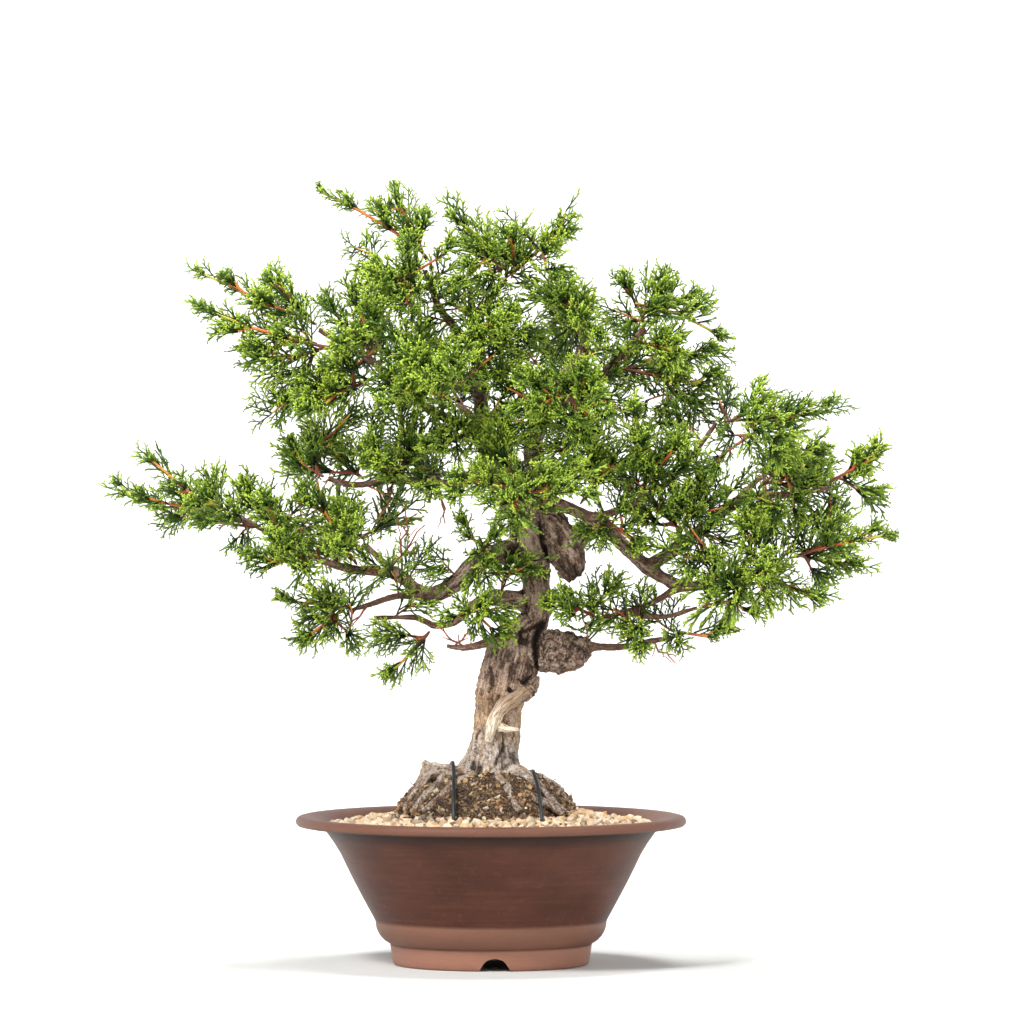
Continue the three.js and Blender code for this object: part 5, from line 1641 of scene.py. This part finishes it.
# Ends of the shoots that fill the crown between the sprays.
INNER_SHOOTS = [
    (4, -18, 400), (8, -24, 380), (16, 12, 388), (18, -16, 362), (4, -26, 366), (16, -8, 448),
    (-22, -10, 427), (-33, 4, 448), (-2, -14, 431), (2, 12, 412), (-34, -14, 432), (-26, 14, 440),
    (-40, -6, 420), (113, -6, 359), (103, 16, 367), (128, 0, 364), (120, -14, 350), (84, 6, 424),
    (71, -14, 400), (85, 10, 385), (97, -10, 406), (76, -16, 370), (80, 12, 362), (74, 0, 380),
    (-95, -4, 355), (-79, 10, 348), (-58, -12, 356), (-104, 12, 340), (-74, -12, 330),
    (-60, 12, 366), (38, -16, 335), (44, -20, 350), (87, -8, 314), (74, 14, 318), (90, 10, 300),
    (-82, 4, 258), (-64, -14, 254), (-49, -8, 234), (-30, -14, 262), (-46, 8, 262),
    (-92, -4, 232), (12, -20, 252), (6, -22, 232), (22, -22, 262), (126, -14, 262),
    (146, -10, 276), (136, 6, 290), (140, -12, 300), (126, 10, 300), (159, 0, 309),
    (77, -20, 230), (60, -20, 222), (97, -14, 234), (88, 6, 222), (70, -8, 240), (106, -8, 226),
    (220, 0, 302), (194, -6, 272), (-163, 0, 279), (-146, 6, 300), (-130, -8, 292),
    (-118, 8, 284), (-124, 6, 410), (-146, 6, 412), (46, -4, 486), (-14, -2, 483), (20, 0, 478),
    (-86, 0, 464), (149, 4, 367), (-140, 0, 360), (20, -24, 320), (36, -26, 305), (110, -36, 300),
    (130, -38, 284), (150, -34, 298), (118, -34, 270), (142, -36, 258), (166, -30, 284),
    (92, -36, 316), (176, -28, 304), (0, -34, 396), (12, -36, 374), (-6, -30, 412),
    (14, -34, 354), (8, -24, 424), (-12, -22, 388), (-8, -22, 345), (60, -18, 345), (52, 10, 420),
    (-50, 14, 400), (-20, 16, 380), (40, 16, 370), (100, 0, 330), (-60, 0, 320), (-72, 10, 306),
    (10, -22, 340), (-16, -20, 404),
]


class BONSAI_OT_foliage(bpy.types.Operator):
    """Clothes every spray: its round stems, and fronds of scale leaves on its fingers and stems"""
    bl_idname = "bonsai.foliage"
    bl_label = "Foliage"

    def execute(self, context):
        settings = context.scene.bonsai_foliage
        leaf = scale_leaf(rgba(settings.tips), rgba(settings.leaf), rgba(settings.inner))
        bark = twig_bark()
        fronds = frond_set(settings.shoot, settings.seed)
        tree = frond_tree(leaf)
        wood = Wood()
        slots = {part["node"]: part["material_slot"] for part in frame["record"]["subparts"]}
        random = np.random.default_rng(settings.seed)

        def clothe(name, stems, feet, ways):
            """Rounds the stems and sets fronds on them, as one piece."""
            leaves = grown(name + "_leaves", frond_points(name, feet, ways, random), tree,
                           {"Fronds": fronds, "Size": settings.size})
            piece = place(name + "_foliage", stems, bark)
            rounded = piece.modifiers.new("round", "SUBSURF")
            rounded.levels = rounded.render_levels = 1
            stems = evaluated_mesh(piece)
            piece.modifiers.clear()
            piece.data = stems
            normals = np.array([tuple(corner.vector) for corner in stems.vertex_normals])
            move_points(stems, points_of(stems) + settings.plump * normals)
            leafy = place(name + "_leaves", leaves, leaf)
            with context.temp_override(active_object=piece,
                                       selected_editable_objects=[piece, leafy]):
                bpy.ops.object.join()
            move_points(stems, inside_box(points_of(stems)))
            return piece

        perches = [np.array(smooth_path(limb, 4.0))[:, :3] for limb in LIMBS]
        for name in SPRAYS:
            shape = merged_copy(name)
            feet, ways = spray_fingers(shape)
            stems = bpy.data.meshes.new(name + "_foliage")
            shape.to_mesh(stems)
            places = points_of(stems)
            perches.append(places)
            start = places[np.argmin(wood.field(places)[0])]
            away = np.linalg.norm(places - start, axis=1)
            set_values(stems, "age", away / away.max())
            # Fingers at the end of a spray are shorter than those at its foot.
            ways *= 1.12 - 0.36 * (np.linalg.norm(feet - start, axis=1) / away.max())[:, None]
            more_feet, more_ways = stem_fronds(stems, start, settings.stem_area,
                                               settings.long_frond, settings.short_frond, random)
            feet = np.vstack([feet, more_feet])
            ways = combed(feet, np.vstack([ways, more_ways]), start, settings.comb)
            hand_over(clothe(name, stems, feet, ways), slots[name], name)
        inner = clothe("inner_shoots", *inner_shoots(np.vstack(perches), random))
        hand_over(inner, "foliage_shade")
        return {"FINISHED"}


STEPS = (BONSAI_OT_stage, BONSAI_OT_pot, BONSAI_OT_drain_screen, BONSAI_OT_gravel,
         BONSAI_OT_root_ball, BONSAI_OT_ties, BONSAI_OT_wood, BONSAI_OT_dry_twigs,
         BONSAI_OT_foliage)
SETTINGS = {
    "bonsai_pot": BonsaiPotSettings, "bonsai_soil": BonsaiSoilSettings,
    "bonsai_wood": BonsaiWoodSettings, "bonsai_foliage": BonsaiFoliageSettings,
    "bonsai_stage": BonsaiStageSettings,
}


class BONSAI_PT_panel(bpy.types.Panel):
    """Buttons and settings for the bonsai"""
    bl_idname = "BONSAI_PT_panel"
    bl_label = "Juniper bonsai"
    bl_space_type = "VIEW_3D"
    bl_region_type = "UI"
    bl_category = "Bonsai"

    def draw(self, context):
        for step in STEPS:
            self.layout.operator(step.bl_idname)
        for name, group in SETTINGS.items():
            box = self.layout.box()
            box.label(text=group.__doc__)
            for field in group.__annotations__:
                box.prop(getattr(context.scene, name), field)


def register():
    """Adds the settings, the operators and the panel to Blender."""
    for group in SETTINGS.values():
        bpy.utils.register_class(group)
    for name, group in SETTINGS.items():
        setattr(bpy.types.Scene, name, bpy.props.PointerProperty(type=group))
    for each in (*STEPS, BONSAI_PT_panel):
        bpy.utils.register_class(each)


def unregister():
    """Takes them out again."""
    for each in reversed((*STEPS, BONSAI_PT_panel)):
        bpy.utils.unregister_class(each)
    for name in SETTINGS:
        delattr(bpy.types.Scene, name)
    for group in SETTINGS.values():
        bpy.utils.unregister_class(group)


def main():
    """Builds the bonsai."""
    register()
    for step in STEPS:
        group, name = step.bl_idname.split(".")
        getattr(getattr(bpy.ops, group), name)()
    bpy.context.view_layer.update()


if __name__ == "__main__":
    main()
